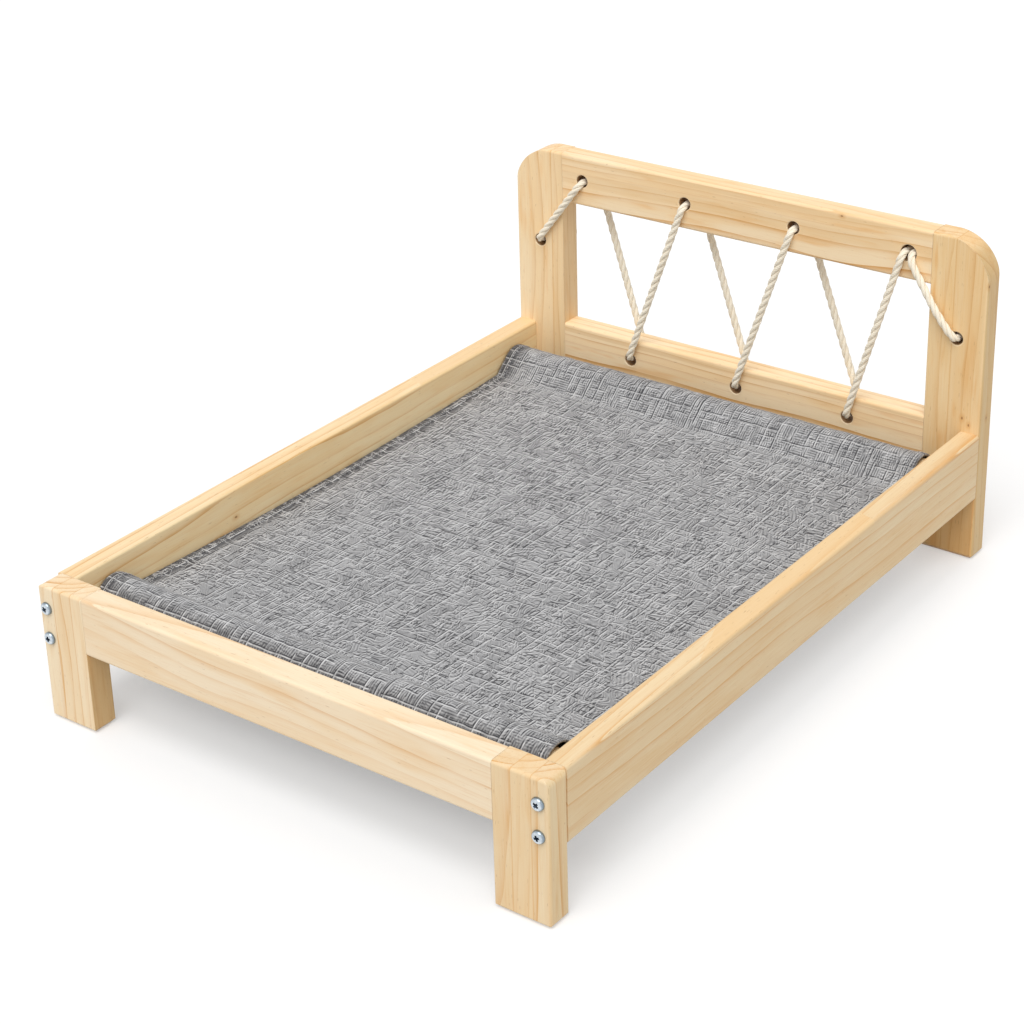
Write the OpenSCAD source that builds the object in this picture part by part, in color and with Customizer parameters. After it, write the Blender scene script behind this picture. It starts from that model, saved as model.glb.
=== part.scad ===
// Low rope bed: a pine frame whose cloth hangs between two round rods, with a rope laced across the headboard.
// The bed stands on Z = 0. X runs across it, Y from the foot to the head, and the head posts' backs are at Y = head_back.

/* [Frame] */
// Overall width across the side rails
bed_w = 460; // [400:1:700]
// Length from the front of the front legs to the back of the headboard
bed_l = 620; // [480:1:900]
// Height of the headboard above the floor
head_h = 280; // [250:1:380]
// Height of the front legs and of the side rails' tops
leg_h = 114; // [90:1:140]

/* [Timber] */
// Thickness of the legs, posts and cross rails
board_t = 21; // [18:0.5:24]
// Thickness of the side rails
side_rail_t = 18; // [16:0.5:21]
// Width of a front leg
leg_w = 45; // [40:0.5:55]
// Width of a head post
post_w = 50; // [45:0.5:60]
// Height of the front rail
front_rail_h = 47; // [42:0.5:56]
// Height of the side rails
side_rail_h = 58; // [52:0.5:70]
// Height of each headboard rail
head_rail_h = 45; // [40:0.5:55]
// Height of the lower headboard rail's top above the side rails
lower_rail_rise = 5; // [0:0.5:10]
// Rounding of the long edges
edge_r = 2.5; // [1:0.1:4]
// Rounding of the edges that meet another board
seam_r = 0.3; // [0.2:0.1:1]
// Rounding of the top outer corner of a front leg
leg_corner_r = 6; // [3:0.5:12]
// Rounding of the top outer corner of a head post
post_corner_r = 38; // [20:1:42]
// Chamfer round the foot of each leg and post
foot_chamfer = 3; // [1:0.1:5]

/* [Cloth and rods] */
// Diameter of the two rods
rod_d = 28; // [24:0.5:30]
// Distance from a rod's axis to the board beside it
rod_setback = 32; // [26:0.5:40]
// Depth of the rods' axes below the tops of the side rails
rod_drop = 31; // [26:0.5:34]
// Depth of the blind bores that hold the rods
rod_bore_depth = 7; // [5:0.5:9]
// Thickness of the cloth
cloth_t = 1.5; // [1:0.1:2]
// Inner diameter of the sleeves sewn round the rods
sleeve_d = 34; // [32:0.5:36]
// Gap between the cloth and the left side rail
cloth_left_gap = 1.5; // [1:0.5:20]
// Gap between the cloth and the right side rail
cloth_right_gap = 14; // [1:0.5:25]
// Depth of the cloth's sag at its middle
cloth_sag = 5; // [2:0.5:12]
// Width of the hem along each side of the cloth
hem_w = 8; // [5:0.5:15]

/* [Rope and its holes] */
// Diameter of the rope
rope_d = 6.5; // [5:0.1:6.5]
// Gap between two strands that share the last hole of the top rail
strand_gap = 0.5; // [0.4:0.1:0.8]
// Gap between the rope and the boards that it crosses
rope_gap = 0.25; // [0.2:0.05:0.5]
// Diameter of a hole that takes one strand
hole_d = 11; // [9:0.5:13]
// Chamfer at both ends of each hole
hole_chamfer = 0.8; // [0.4:0.1:1.2]
// Distance from each end of the top rail to its first hole
top_hole_inset = 21; // [16:1:35]
// Distance from each end of the lower rail to its first hole
lower_hole_inset = 71; // [50:1:90]
// Distance of the lower rail's holes below its top
lower_hole_drop = 19.5; // [15:0.5:25]
// Distance of the hole in each head post below the post's top
post_hole_drop = 86; // [70:0.5:100]

/* [Fasteners] */
// Diameter of a screw head
screw_head_d = 10; // [9:0.5:12]
// Height of a screw head
screw_head_h = 3; // [2.5:0.1:4]
// Diameter of a screw's shank
screw_d = 5; // [4:0.5:6]
// Length of a screw below its head
screw_l = 40; // [34:1:46]
// Distance from a screw's axis to the outer face of the side rail
screw_inset = 8; // [7:0.5:9]
// Distance of the upper screw of a pair below the tops of the side rails
screw_drop = 18.5; // [14:0.5:22]
// Distance between the two screws of a pair
screw_pitch = 25; // [20:0.5:28]
// Diameter of a wooden pin
pin_d = 8; // [6:0.5:8]
// Length of a wooden pin
pin_l = 30; // [24:1:36]
// Distance between the two pins of a joint
pin_pitch = 26; // [22:0.5:28]
// Clearance all round a screw or a pin
fit_gap = 0.1; // [0.05:0.05:0.2]
// Clearance all round a rod's end and beyond it
rod_gap = 0.2; // [0.1:0.05:0.3]
// Clearance between the cloth and the rod that it bears on
cloth_gap = 0.3; // [0.2:0.05:0.5]

/* [Hidden] */

// The frame's own planes and lines
head_back = 300;
front_face = head_back - bed_l;
rail_start = front_face + board_t;
head_front = head_back - board_t;
half_w = bed_w / 2;
inner_half_w = half_w - side_rail_t;
side_rail_z = leg_h - side_rail_h;
front_rod_y = rail_start + rod_setback;
rear_rod_y = head_front - rod_setback;
rod_l = 2 * (inner_half_w + rod_bore_depth - rod_gap);
rod_z = leg_h - rod_drop;
head_rail_l = bed_w - 2 * post_w;
top_rail_z = head_h - head_rail_h;
lower_rail_top = leg_h + lower_rail_rise;
lower_rail_z = lower_rail_top - head_rail_h;
screw_x = half_w - screw_inset;
screw_top_z = leg_h - screw_drop;

// The rope's holes
top_hole_x = head_rail_l / 2 - top_hole_inset;
top_hole_pitch = 2 * top_hole_x / 3;
top_hole_z = top_rail_z + head_rail_h / 2;
lower_hole_pitch = head_rail_l / 2 - lower_hole_inset;
lower_hole_z = lower_rail_top - lower_hole_drop;
post_hole_x = half_w - post_w / 2;
post_hole_z = head_h - post_hole_drop;
strand_pitch = rope_d + strand_gap;
wide_hole_d = 2 * strand_pitch;
wood = "burlywood";
tube_sides = 8;

// ---- timber ----

// A rectangle from the origin whose corners have their own roundings, in the order
// lower left, lower right, upper right, upper left
module rounded_section(w, h, radii) {
    corners = [[0, 0], [w, 0], [w, h], [0, h]];
    inward = [[1, 1], [-1, 1], [-1, -1], [1, -1]];
    difference() {
        square([w, h]);
        for (i = [0:3])
            translate(corners[i])
                corner_notch(radii[i], inward[i]);
    }
    for (i = [0:3])
        translate(corners[i] + radii[i] * inward[i])
            circle(r = radii[i], $fn = 64);
}

// The square that a rounded corner takes away
module corner_notch(r, inward) {
    translate([min(0, inward.x * r), min(0, inward.y * r)])
        square(r);
}

// A board along X with rounded long edges and square ends, from the origin
module cross_board(length, thickness, height) {
    rotate([90, 0, 90])
        linear_extrude(length)
            rounded_section(thickness, height, [edge_r, edge_r, edge_r, edge_r]);
}

// An upright board from the origin: its outer side is at X = 0 and its front at Y = 0
module upright_board(width, height, corner_r) {
    intersection() {
        linear_extrude(height)
            rounded_section(width, board_t, [edge_r, seam_r, seam_r, edge_r]);
        translate([0, board_t, 0])
            rotate([90, 0, 0])
                linear_extrude(board_t)
                    difference() {
                        rounded_section(width, height, [seam_r, seam_r, seam_r, corner_r]);
                        foot_corner(0, 1);
                        foot_corner(width, -1);
                    }
        rotate([90, 0, 90])
            linear_extrude(width)
                difference() {
                    rounded_section(board_t, height, [seam_r, seam_r, seam_r, edge_r]);
                    foot_corner(0, 1);
                    foot_corner(board_t, -1);
                }
    }
}

// The triangle that the foot's chamfer takes away at one side
module foot_corner(side, inward) {
    polygon([[side, 0], [side + inward * foot_chamfer, 0], [side, foot_chamfer]]);
}

// Places its child at the left, or mirrored at the right
module at_side(side) {
    mirror([side > 0 ? 1 : 0, 0, 0])
        children();
}

// ---- holes ----

// A hole along Y through the headboard's thickness, chamfered at both faces
module rope_hole(x, z, d) {
    translate([x, head_front, z])
        rotate([-90, 0, 0])
            rotate_extrude($fn = 64)
                polygon([[0, -1],
                         [d / 2 + hole_chamfer + 1, -1],
                         [d / 2, hole_chamfer],
                         [d / 2, board_t - hole_chamfer],
                         [d / 2 + hole_chamfer + 1, board_t + 1],
                         [0, board_t + 1]]);
}

// The bores for a pair of screws in the side at X < 0, from a board's outer face inwards
module screw_bores(face_y, inward) {
    for (z = [screw_top_z, screw_top_z - screw_pitch])
        translate([-screw_x, face_y, z])
            rotate([-90 * inward, 0, 0])
                cylinder(d = screw_d + 2 * fit_gap, h = screw_l + fit_gap, $fn = 48);
}

// The pins of one joint, across the plane at X = x, with a clearance that may be 0
module pin_pair(x, y, z, gap) {
    for (dz = [-pin_pitch / 2, pin_pitch / 2])
        translate([x - pin_l / 2 - gap, y, z + dz])
            rotate([0, 90, 0])
                cylinder(d = pin_d + 2 * gap, h = pin_l + 2 * gap, $fn = 48);
}

// The wooden pins at both ends of a cross rail
module rail_pins(end_x, y, z) {
    for (side = [-1, 1])
        pin_pair(side * end_x, y, z, 0);
}

front_pin_y = front_face + board_t / 2;
front_pin_z = leg_h - front_rail_h / 2;
head_pin_y = head_front + board_t / 2;
lower_pin_z = lower_rail_top - head_rail_h / 2;

// ---- frame pieces ----

module front_leg(side) {
    color(wood)
        at_side(side)
            difference() {
                translate([-half_w, front_face, 0])
                    upright_board(leg_w, leg_h, leg_corner_r);
                screw_bores(front_face, 1);
                pin_pair(leg_w - half_w, front_pin_y, front_pin_z, fit_gap);
            }
}

module front_rail() {
    color(wood)
        difference() {
            translate([leg_w - half_w, front_face, leg_h - front_rail_h])
                cross_board(bed_w - 2 * leg_w, board_t, front_rail_h);
            for (side = [-1, 1])
                pin_pair(side * (half_w - leg_w), front_pin_y, front_pin_z, fit_gap);
        }
}

module side_rail(side) {
    color(wood)
        at_side(side)
            difference() {
                translate([-half_w, head_front, side_rail_z])
                    rotate([90, 0, 0])
                        linear_extrude(head_front - rail_start)
                            rounded_section(side_rail_t, side_rail_h, [edge_r, edge_r, edge_r, edge_r]);
                for (y = [front_rod_y, rear_rod_y])
                    translate([-inner_half_w - rod_bore_depth, y, rod_z])
                        rotate([0, 90, 0])
                            cylinder(d = rod_d + 2 * rod_gap, h = rod_bore_depth + 1, $fn = 96);
                screw_bores(front_face, 1);
                screw_bores(head_back, -1);
            }
}

module head_post(side) {
    color(wood)
        at_side(side)
            difference() {
                translate([-half_w, head_front, 0])
                    upright_board(post_w, head_h, post_corner_r);
                rope_hole(-post_hole_x, post_hole_z, hole_d);
                screw_bores(head_back, -1);
                pin_pair(post_w - half_w, head_pin_y, top_hole_z, fit_gap);
                pin_pair(post_w - half_w, head_pin_y, lower_pin_z, fit_gap);
            }
}

// A rail between the head posts; pin_z is the height of its joints
module head_rail(z, pin_z) {
    difference() {
        translate([post_w - half_w, head_front, z])
            cross_board(head_rail_l, board_t, head_rail_h);
        for (side = [-1, 1])
            pin_pair(side * (half_w - post_w), head_pin_y, pin_z, fit_gap);
    }
}

module head_top_rail() {
    color(wood)
        difference() {
            head_rail(top_rail_z, top_hole_z);
            for (i = [-1.5, -0.5, 0.5])
                rope_hole(i * top_hole_pitch, top_hole_z, hole_d);
            rope_hole(1.5 * top_hole_pitch, top_hole_z, wide_hole_d);
        }
}

module head_lower_rail() {
    color(wood)
        difference() {
            head_rail(lower_rail_z, lower_pin_z);
            for (i = [-1:1])
                rope_hole(i * lower_hole_pitch, lower_hole_z, hole_d);
        }
}

// ---- rods and cloth ----

// A round rod with small chamfers at its ends
rod_chamfer = 1.5;

module rod(y) {
    color("wheat")
        translate([-rod_l / 2, y, rod_z])
            rotate([0, 90, 0])
                rotate_extrude($fn = 96)
                    polygon([[0, 0],
                             [rod_d / 2 - rod_chamfer, 0],
                             [rod_d / 2, rod_chamfer],
                             [rod_d / 2, rod_l - rod_chamfer],
                             [rod_d / 2 - rod_chamfer, rod_l],
                             [0, rod_l]]);
}

// The sleeves bear on the far sides of the rods, because the sheet pulls them together
sleeve_r = sleeve_d / 2;
sleeve_shift = sleeve_r - rod_d / 2 - cloth_gap;
front_sleeve_y = front_rod_y + sleeve_shift;
rear_sleeve_y = rear_rod_y - sleeve_shift;
cloth_x = cloth_left_gap - inner_half_w;
cloth_w = 2 * inner_half_w - cloth_left_gap - cloth_right_gap;
seam_angle = 48;
seam_y = sleeve_r / cos(seam_angle);
seam_overlap = 0.3;
sleeve_steps = 40;
sag_steps = 24;
hem_extra = 0.6;

// A circle drawn out to a point at +Y, whose straight sides leave it at seam_angle
function sleeve_outline(r) =
    concat([[r / cos(seam_angle), 0]],
           [for (i = [0:sleeve_steps])
                let (a = seam_angle + (360 - 2 * seam_angle) * i / sleeve_steps)
                r * [cos(a), sin(a)]]);

// The outlines of both sleeves, seen along X
module sleeve_pair(r) {
    translate([front_sleeve_y, rod_z])
        polygon(sleeve_outline(r));
    translate([rear_sleeve_y, rod_z])
        mirror([1, 0])
            polygon(sleeve_outline(r));
}

// Height of the sheet's middle layer at y, a shallow parabola between the two seams
function sheet_z(y) =
    let (span = rear_sleeve_y - front_sleeve_y - 2 * seam_y,
         t = (y - front_sleeve_y - seam_y) / span)
    rod_z - 4 * cloth_sag * t * (1 - t);

// A layer that follows the sheet between the sleeves, from below to above its middle
module sheet_layer(below, above, inset) {
    start = front_sleeve_y + seam_y + inset;
    stop = rear_sleeve_y - seam_y - inset;
    ys = [for (i = [0:sag_steps]) start + (stop - start) * i / sag_steps];
    top = [for (y = ys) [y, sheet_z(y) + above]];
    bottom = [for (i = [0:sag_steps]) let (y = ys[sag_steps - i]) [y, sheet_z(y) - below]];
    polygon(concat(top, bottom));
}

// The whole cloth, seen along X
module cloth_section() {
    difference() {
        union() {
            sleeve_pair(sleeve_r + cloth_t);
            sheet_layer(cloth_t / 2, cloth_t / 2, seam_overlap);
        }
        sleeve_pair(sleeve_r);
    }
}

module hammock_cloth() {
    color("gray")
        translate([cloth_x, 0, 0])
            rotate([90, 0, 90]) {
                linear_extrude(cloth_w)
                    cloth_section();
                for (x = [0, cloth_w - hem_w])
                    translate([0, 0, x])
                        linear_extrude(hem_w)
                            sheet_layer(0, cloth_t / 2 + hem_extra, cloth_t);
            }
}

// ---- rope ----

function unit(v) = v / norm(v);

// The points of an arc of radius r that rounds the corner b between a and c
function corner_arc(a, b, c, r, steps) =
    let (u = unit(a - b),
         v = unit(c - b),
         half = acos(u * v) / 2,
         centre = b + unit(u + v) * r / sin(half),
         from = b + u * r / tan(half) - centre,
         to = b + v * r / tan(half) - centre,
         turn = 180 - 2 * half)
    [for (i = [0:steps])
        centre + (sin(turn - turn * i / steps) * from + sin(turn * i / steps) * to) / sin(turn)];

// A route with every inner corner rounded
function rounded_route(route, r, steps) =
    let (last = len(route) - 1)
    concat([route[0]],
           [for (i = [1:last - 1]) each corner_arc(route[i - 1], route[i], route[i + 1], r, steps)],
           [route[last]]);

// A smooth curve that follows a route and cuts its corners a little
function smooth_point(a, b, c, d, t) =
    (a * pow(1 - t, 3) + b * (3 * pow(t, 3) - 6 * pow(t, 2) + 4)
     + c * (-3 * pow(t, 3) + 3 * pow(t, 2) + 3 * t + 1) + d * pow(t, 3)) / 6;

function smooth_route(route, steps) =
    let (last = len(route) - 1,
         p = concat([2 * route[0] - route[1]], route, [2 * route[last] - route[last - 1]]))
    concat([for (i = [0:last - 1])
                each [for (k = [0:steps - 1])
                          smooth_point(p[i], p[i + 1], p[i + 2], p[i + 3], k / steps)]],
           [route[last]]);

// Directions along a line of points, and normals that turn as little as they can
function directions(line) =
    let (last = len(line) - 1)
    [for (i = [0:last]) unit(line[min(i + 1, last)] - line[max(i - 1, 0)])];

function square_to(direction, v) = unit(v - (v * direction) * direction);

function normals(along, start) =
    [for (i = 0, n = square_to(along[0], start);
          i < len(along);
          i = i + 1, n = i < len(along) ? square_to(along[i], n) : n) n];

// A round tube of the rope's diameter along a line of points, with flat ends
module tube(line) {
    along = directions(line);
    side = normals(along, [0.1, 0.2, 1]);
    count = len(line);
    points = [for (i = [0:count - 1])
                  let (across = cross(along[i], side[i]))
                  each [for (k = [0:tube_sides - 1])
                            let (a = 360 * k / tube_sides)
                            line[i] + rope_d / 2 * (cos(a) * side[i] + sin(a) * across)]];
    walls = [for (i = [0:count - 2], k = [0:tube_sides - 1])
                 let (a = i * tube_sides + k,
                      b = i * tube_sides + (k + 1) % tube_sides)
                 each [[a, a + tube_sides, b], [b, a + tube_sides, b + tube_sides]]];
    first = [for (k = [0:tube_sides - 1]) k];
    end = [for (k = [0:tube_sides - 1]) count * tube_sides - 1 - k];
    polyhedron(points, concat(walls, [first, end]), convexity = 10);
}

// The least gap between stretches of a line that are further than reach apart along it
function least_gap(line, reach) =
    min([for (i = [0:len(line) - 2], j = [i + 1:len(line) - 1])
             if (way(line, i, j) > reach) norm(line[i] - line[j])]) - rope_d;

function way(line, i, j) = i == j ? 0 : norm(line[i + 1] - line[i]) + way(line, i + 1, j);

rope_bend_r = 6;
bend_steps = 3;
rope_front = head_front - rope_d / 2 - rope_gap;
rope_back = head_back + rope_d / 2 + rope_gap;
rope_middle = (head_front + head_back) / 2;
arriving_x = top_hole_x - strand_pitch / 2;
leaving_x = top_hole_x + strand_pitch / 2;

// The taut lacing: it leaves the left post, and goes through the top and lower rails by turns
lacing_route = concat(
    [[-post_hole_x, rope_middle, post_hole_z],
     [-post_hole_x, rope_front, post_hole_z]],
    [for (i = [0:2])
        let (top = i * top_hole_pitch - top_hole_x,
             low = (i - 1) * lower_hole_pitch)
        each [[top, rope_front, top_hole_z],
              [top, rope_back, top_hole_z],
              [low, rope_back, lower_hole_z],
              [low, rope_front, lower_hole_z]]],
    [[arriving_x, rope_front, top_hole_z],
     [arriving_x, rope_middle, top_hole_z]]);

// Behind the last hole the rope turns round its own part and comes back. Its loops are in
// rope diameters: X and Z from the returning part, Y from the back of the rail
turns_r = 1.2;
turns_pitch = 1.11;
turns_bottom = 0.5;
turns_angle = 570;
turns_step = 30;
turns_over = [[0.7, 2.46, 1.2], [0.23, 2.8, 1.43], [0, 3.28, 1.15], [0, 3.43, 0.43], [0, 3.08, -0.12],
              [0, 2.4, -0.08], [0, 1.6, 0], [0, 0.8, 0], [0, -0.2, 0], [0, -0.8, 0]];
turns_route = concat(
    [[-strand_pitch, rope_middle - head_back, 0],
     [-strand_pitch, -0.8 * rope_d, 0],
     [-strand_pitch, -0.2 * rope_d, 0]],
    [for (a = [turns_step:turns_step:turns_angle])
        rope_d * [-turns_r * cos(a), turns_bottom + turns_pitch * a / 360, -turns_r * sin(a)]],
    rope_d * turns_over,
    [[0, rope_middle - head_back, 0]]);

// The slack end comes forward through the same hole and sags across to the right post. Each
// point is its share of the way across and of the way down, and its distance from the boards
tail_shape = [[0.035, 0.09, 0.7], [0.15, 0.205, 1], [0.32, 0.37, 1.5], [0.48, 0.535, 2],
              [0.65, 0.7, 2], [0.81, 0.84, 1.5], [0.94, 0.945, 1]];
tail_across = post_hole_x - leaving_x;
tail_down = top_hole_z - post_hole_z;
tail_route = concat(
    [[leaving_x, rope_middle, top_hole_z],
     [leaving_x, rope_middle - 0.6 * rope_d, top_hole_z],
     [leaving_x, rope_middle - 1.2 * rope_d, top_hole_z],
     [leaving_x, rope_front + 2, top_hole_z - 1]],
    [for (p = tail_shape)
        [leaving_x + p.x * tail_across, rope_front - p.z, top_hole_z - p.y * tail_down]],
    [[post_hole_x - 0.2, rope_front + 2, post_hole_z + 0.3],
     [post_hole_x, rope_middle - 1.2 * rope_d, post_hole_z],
     [post_hole_x, rope_middle - 0.6 * rope_d, post_hole_z],
     [post_hole_x, rope_middle, post_hole_z]]);

// A stopper knot: the rope winds round its own part and its end. Its loops are in rope
// diameters: X to the left and Z up from the hole's axis, Y from the back of the post
knot_r = 1.77;
knot_pitch = 1.09;
knot_top = 2.28;
knot_middle = 0.55;
knot_start = 150;
knot_angle = 480;
knot_step = 30;
knot_rise = [[0, -0.8, 0], [0, 0, 0], [0, 0.77, 0], [0, 1.54, 0], [0, 2.23, -0.23], [-0.46, 2.62, -0.77],
             [-1.23, 2.58, -0.92], [-1.69, 2.43, -0.31], [-1.46, 2.31, 0.46]];
knot_tuck = [[2.34, 0.68, 0.08], [2.31, 0.6, -0.62], [1.92, 0.56, -1.15], [1.31, 0.56, -1.15],
             [1.05, 0.93, -0.69], [1.08, 1.54, -0.23], [1.11, 2.15, 0], [1.11, 2.77, 0], [1.11, 3.54, 0]];
knot_route = concat(
    [[0, rope_middle - head_back, 0]],
    rope_d * knot_rise,
    [for (a = [0:knot_step:knot_angle])
        rope_d * [knot_middle + knot_r * cos(knot_start - a),
                  knot_top - knot_pitch * a / 360,
                  knot_r * sin(knot_start - a)]],
    rope_d * knot_tuck);

module lacing_rope() {
    color("linen")
        tube(rounded_route(lacing_route, rope_bend_r, bend_steps));
}

module rope_turns() {
    line = smooth_route(turns_route, 2);
    echo(str("rope_turns: least gap to itself ", least_gap(line, 3 * rope_d), " mm"));
    color("linen")
        translate([leaving_x, head_back, top_hole_z])
            tube(line);
}

module rope_tail() {
    color("linen")
        tube(smooth_route(tail_route, 2));
}

module rope_knot(side) {
    line = smooth_route(knot_route, 2);
    echo(str("rope_knot: least gap to itself ", least_gap(line, 3 * rope_d), " mm"));
    color("linen")
        translate([side * post_hole_x, head_back, post_hole_z])
            mirror([1, 0, 0])
                tube(line);
}

// ---- screws ----

recess_w = 1.4;
recess_span = 6;
recess_depth = 2.2;

// A pan head screw: its head stands on Z = 0 and its shank points down
module screw() {
    dome = screw_head_h * 0.45;
    difference() {
        rotate_extrude($fn = 64) {
            intersection() {
                square([screw_head_d / 2, screw_head_h]);
                union() {
                    square([screw_head_d / 2, screw_head_h - dome]);
                    translate([0, screw_head_h - dome_r(dome)])
                        circle(r = dome_r(dome), $fn = 128);
                }
            }
            polygon([[0, 0.01], [screw_d / 2, 0.01], [screw_d / 2, -screw_l + 1.6 * screw_d], [0, -screw_l]]);
        }
        for (a = [0, 90])
            rotate(a)
                translate([-recess_span / 2, -recess_w / 2, screw_head_h - recess_depth])
                    cube([recess_span, recess_w, recess_depth + 1]);
    }
}

// Radius of a dome of the head's diameter and the given height
function dome_r(dome) = (pow(screw_head_d / 2, 2) + pow(dome, 2)) / (2 * dome);

// A pair of screws whose heads stand on the plane at Y = y and face outward
module screw_pair(side, y, outward) {
    color("silver")
        for (z = [screw_top_z, screw_top_z - screw_pitch])
            translate([side * screw_x, y, z])
                rotate([-90 * outward, 0, 0])
                    screw();
}

module pins(end_x, y, z) {
    color("tan")
        rail_pins(end_x, y, z);
}

front_leg(-1);  // front_left_leg
front_leg(1);  // front_right_leg
front_rail();
side_rail(-1);  // left_side_rail
side_rail(1);  // right_side_rail
head_post(-1);  // left_head_post
head_post(1);  // right_head_post
head_top_rail();
head_lower_rail();
rod(front_rod_y);  // front_rod
rod(rear_rod_y);  // rear_rod
hammock_cloth();
lacing_rope();
rope_turns();
rope_tail();
rope_knot(-1);  // left_rope_knot
rope_knot(1);  // right_rope_knot
screw_pair(-1, front_face, -1);  // front_left_screws
screw_pair(1, front_face, -1);  // front_right_screws
screw_pair(-1, head_back, 1);  // rear_left_screws
screw_pair(1, head_back, 1);  // rear_right_screws
pins(half_w - leg_w, front_pin_y, front_pin_z);  // front_rail_pins
pins(half_w - post_w, head_pin_y, top_hole_z);  // head_top_rail_pins
pins(half_w - post_w, head_pin_y, lower_pin_z);  // head_lower_rail_pins
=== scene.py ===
"""Rope bed: a pine frame with a cloth sling between two rods and a headboard laced with cotton rope.

Lengths in this file are in millimetres and are turned to metres where a mesh is made.
The frame stands with its feet on Z = 0, its front towards -Y and its headboard at +Y.
"""

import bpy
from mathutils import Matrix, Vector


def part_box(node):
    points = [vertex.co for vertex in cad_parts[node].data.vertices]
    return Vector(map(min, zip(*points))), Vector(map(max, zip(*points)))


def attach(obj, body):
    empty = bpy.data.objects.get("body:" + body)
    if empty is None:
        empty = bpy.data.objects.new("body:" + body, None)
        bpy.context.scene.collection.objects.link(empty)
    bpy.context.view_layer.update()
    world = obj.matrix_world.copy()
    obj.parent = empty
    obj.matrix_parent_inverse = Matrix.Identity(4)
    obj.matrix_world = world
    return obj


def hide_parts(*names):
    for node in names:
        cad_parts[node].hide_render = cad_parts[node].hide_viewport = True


bl_info = {
    "name": "Rope Bed with Cloth Sling",
    "version": (1, 0, 0),
    "blender": (4, 5, 0),
    "location": "3D View > Sidebar > Rope Bed",
    "description": "Finishes the rope bed: pine grain, cloth sling, laced rope, screws and a pale studio",
    "category": "Object",
}

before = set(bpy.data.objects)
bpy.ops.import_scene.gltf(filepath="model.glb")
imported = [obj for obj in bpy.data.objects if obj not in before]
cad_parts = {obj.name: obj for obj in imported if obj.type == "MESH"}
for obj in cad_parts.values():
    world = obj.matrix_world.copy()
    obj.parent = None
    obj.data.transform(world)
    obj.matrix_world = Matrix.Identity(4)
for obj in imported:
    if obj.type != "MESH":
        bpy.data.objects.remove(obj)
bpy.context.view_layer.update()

import math
from bisect import bisect_right

import bmesh
import bpy
from bpy.props import FloatProperty, FloatVectorProperty, IntProperty, PointerProperty
from bpy.types import Operator, Panel, PropertyGroup
from mathutils import Matrix, Vector, noise

MM = 0.001
TURN = 2.0 * math.pi


# ---------------------------------------------------------------- settings

def colour_field(name, description, value):
    return FloatVectorProperty(name=name, description=description, subtype="COLOR", size=3, min=0.0, max=1.0,
                               default=value)


def length_field(name, description, value, low, high):
    return FloatProperty(name=name, description=description, subtype="DISTANCE", unit="LENGTH", min=low, max=high,
                         default=value)


class PineSettings(PropertyGroup):
    """Colours and finish of the pine boards, the rods and the pins."""

    early_colour: colour_field("Early wood", "Colour of the pale wood between the growth lines", (0.875, 0.700, 0.465))
    late_colour: colour_field("Late wood", "Colour of the narrow darker growth lines", (0.670, 0.325, 0.080))
    warm_colour: colour_field("Warm patches", "Colour of the broad warmer patches in the pale wood",
                              (0.820, 0.560, 0.285))
    knot_colour: colour_field("Pin knots", "Colour of the few tiny knots", (0.300, 0.130, 0.045))
    gloss: FloatProperty(
        name="Roughness", description="Roughness of the clear satin finish", min=0.1, max=1.0, default=0.46)


class SlingSettings(PropertyGroup):
    """Size and colours of the cloth sling."""

    cloth_colour: colour_field("Cloth", "Mean colour of the woven cloth", (0.306, 0.306, 0.312))
    # light threads, also used as painted light on the lit side of the cloth's relief
    light_thread_and_painted_light_colour: colour_field("Light threads", "Colour of the thick light threads", (0.640, 0.640, 0.645))
    # dark threads, also used as painted shade in the relief, beside the raised threads, by the left rail and low on
    # the rolls
    dark_thread_and_painted_shade_colour: colour_field("Dark threads", "Colour between the threads", (0.045, 0.045, 0.050))
    thickness: length_field("Thickness", "Thickness of one layer of cloth", 0.0013, 0.0008, 0.0018)
    hem: length_field("Hem width", "Width of the turned hem along both sides", 0.008, 0.004, 0.015)
    sag: length_field("Sag", "How far the middle of the sling hangs under its seams", 0.005, 0.002, 0.008)


class RopeSettings(PropertyGroup):
    """Size and colours of the lacing rope."""

    rope_colour: colour_field("Rope", "Colour of the cotton strands", (0.965, 0.885, 0.725))
    # painted shade deep between the strands
    groove_shade_colour: colour_field("Grooves", "Colour deep between the strands", (0.800, 0.655, 0.450))
    diameter: length_field("Diameter", "Diameter over the three strands", 0.0065, 0.005, 0.0065)
    lay: length_field("Lay", "Length of rope in which a strand makes one turn", 0.0260, 0.012, 0.040)


class ScrewSettings(PropertyGroup):
    """Sizes and colours of the frame screws."""

    zinc_colour: colour_field("Zinc", "Colour of the plated steel", (0.510, 0.580, 0.640))
    # painted shade inside the cross recess
    recess_shade_colour: colour_field("Recess", "Colour inside the cross recess", (0.030, 0.065, 0.110))
    head: length_field("Head", "Diameter of the screw head", 0.010, 0.008, 0.012)
    rise: length_field("Head height", "Height of the screw head", 0.0030, 0.002, 0.0037)
    rounds: IntProperty(
        name="Sides", description="Number of sides of the round head", min=24, max=96, default=48)


class StageSettings(PropertyGroup):
    """Floor, lamps and sky of the studio."""

    floor_colour: colour_field("Floor", "Colour of the pale floor", (0.60, 0.60, 0.60))
    sky: FloatProperty(
        name="Sky", description="Strength of the even light from all round", min=0.0, max=2.0, default=0.60)
    key: FloatProperty(
        name="Key light", description="Strength of the broad light from the upper front", min=0.0, max=10.0,
        default=1.92)
    fill: FloatProperty(
        name="Fill lamp", description="Power of the large weak lamp from the right",
        subtype="POWER", unit="POWER", min=0.0, max=500.0, default=4.0)


# ---------------------------------------------------------------- small helpers

def settings(name):
    return getattr(bpy.context.scene, "rope_bed_" + name)


def new_piece(name, mesh, nodes=()):
    """Puts a finished mesh in the scene as one piece of the frame."""
    piece = bpy.data.objects.new(name, mesh)
    bpy.context.scene.collection.objects.link(piece)
    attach(piece, "root")
    if nodes:
        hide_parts(*nodes)
    return piece


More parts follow.
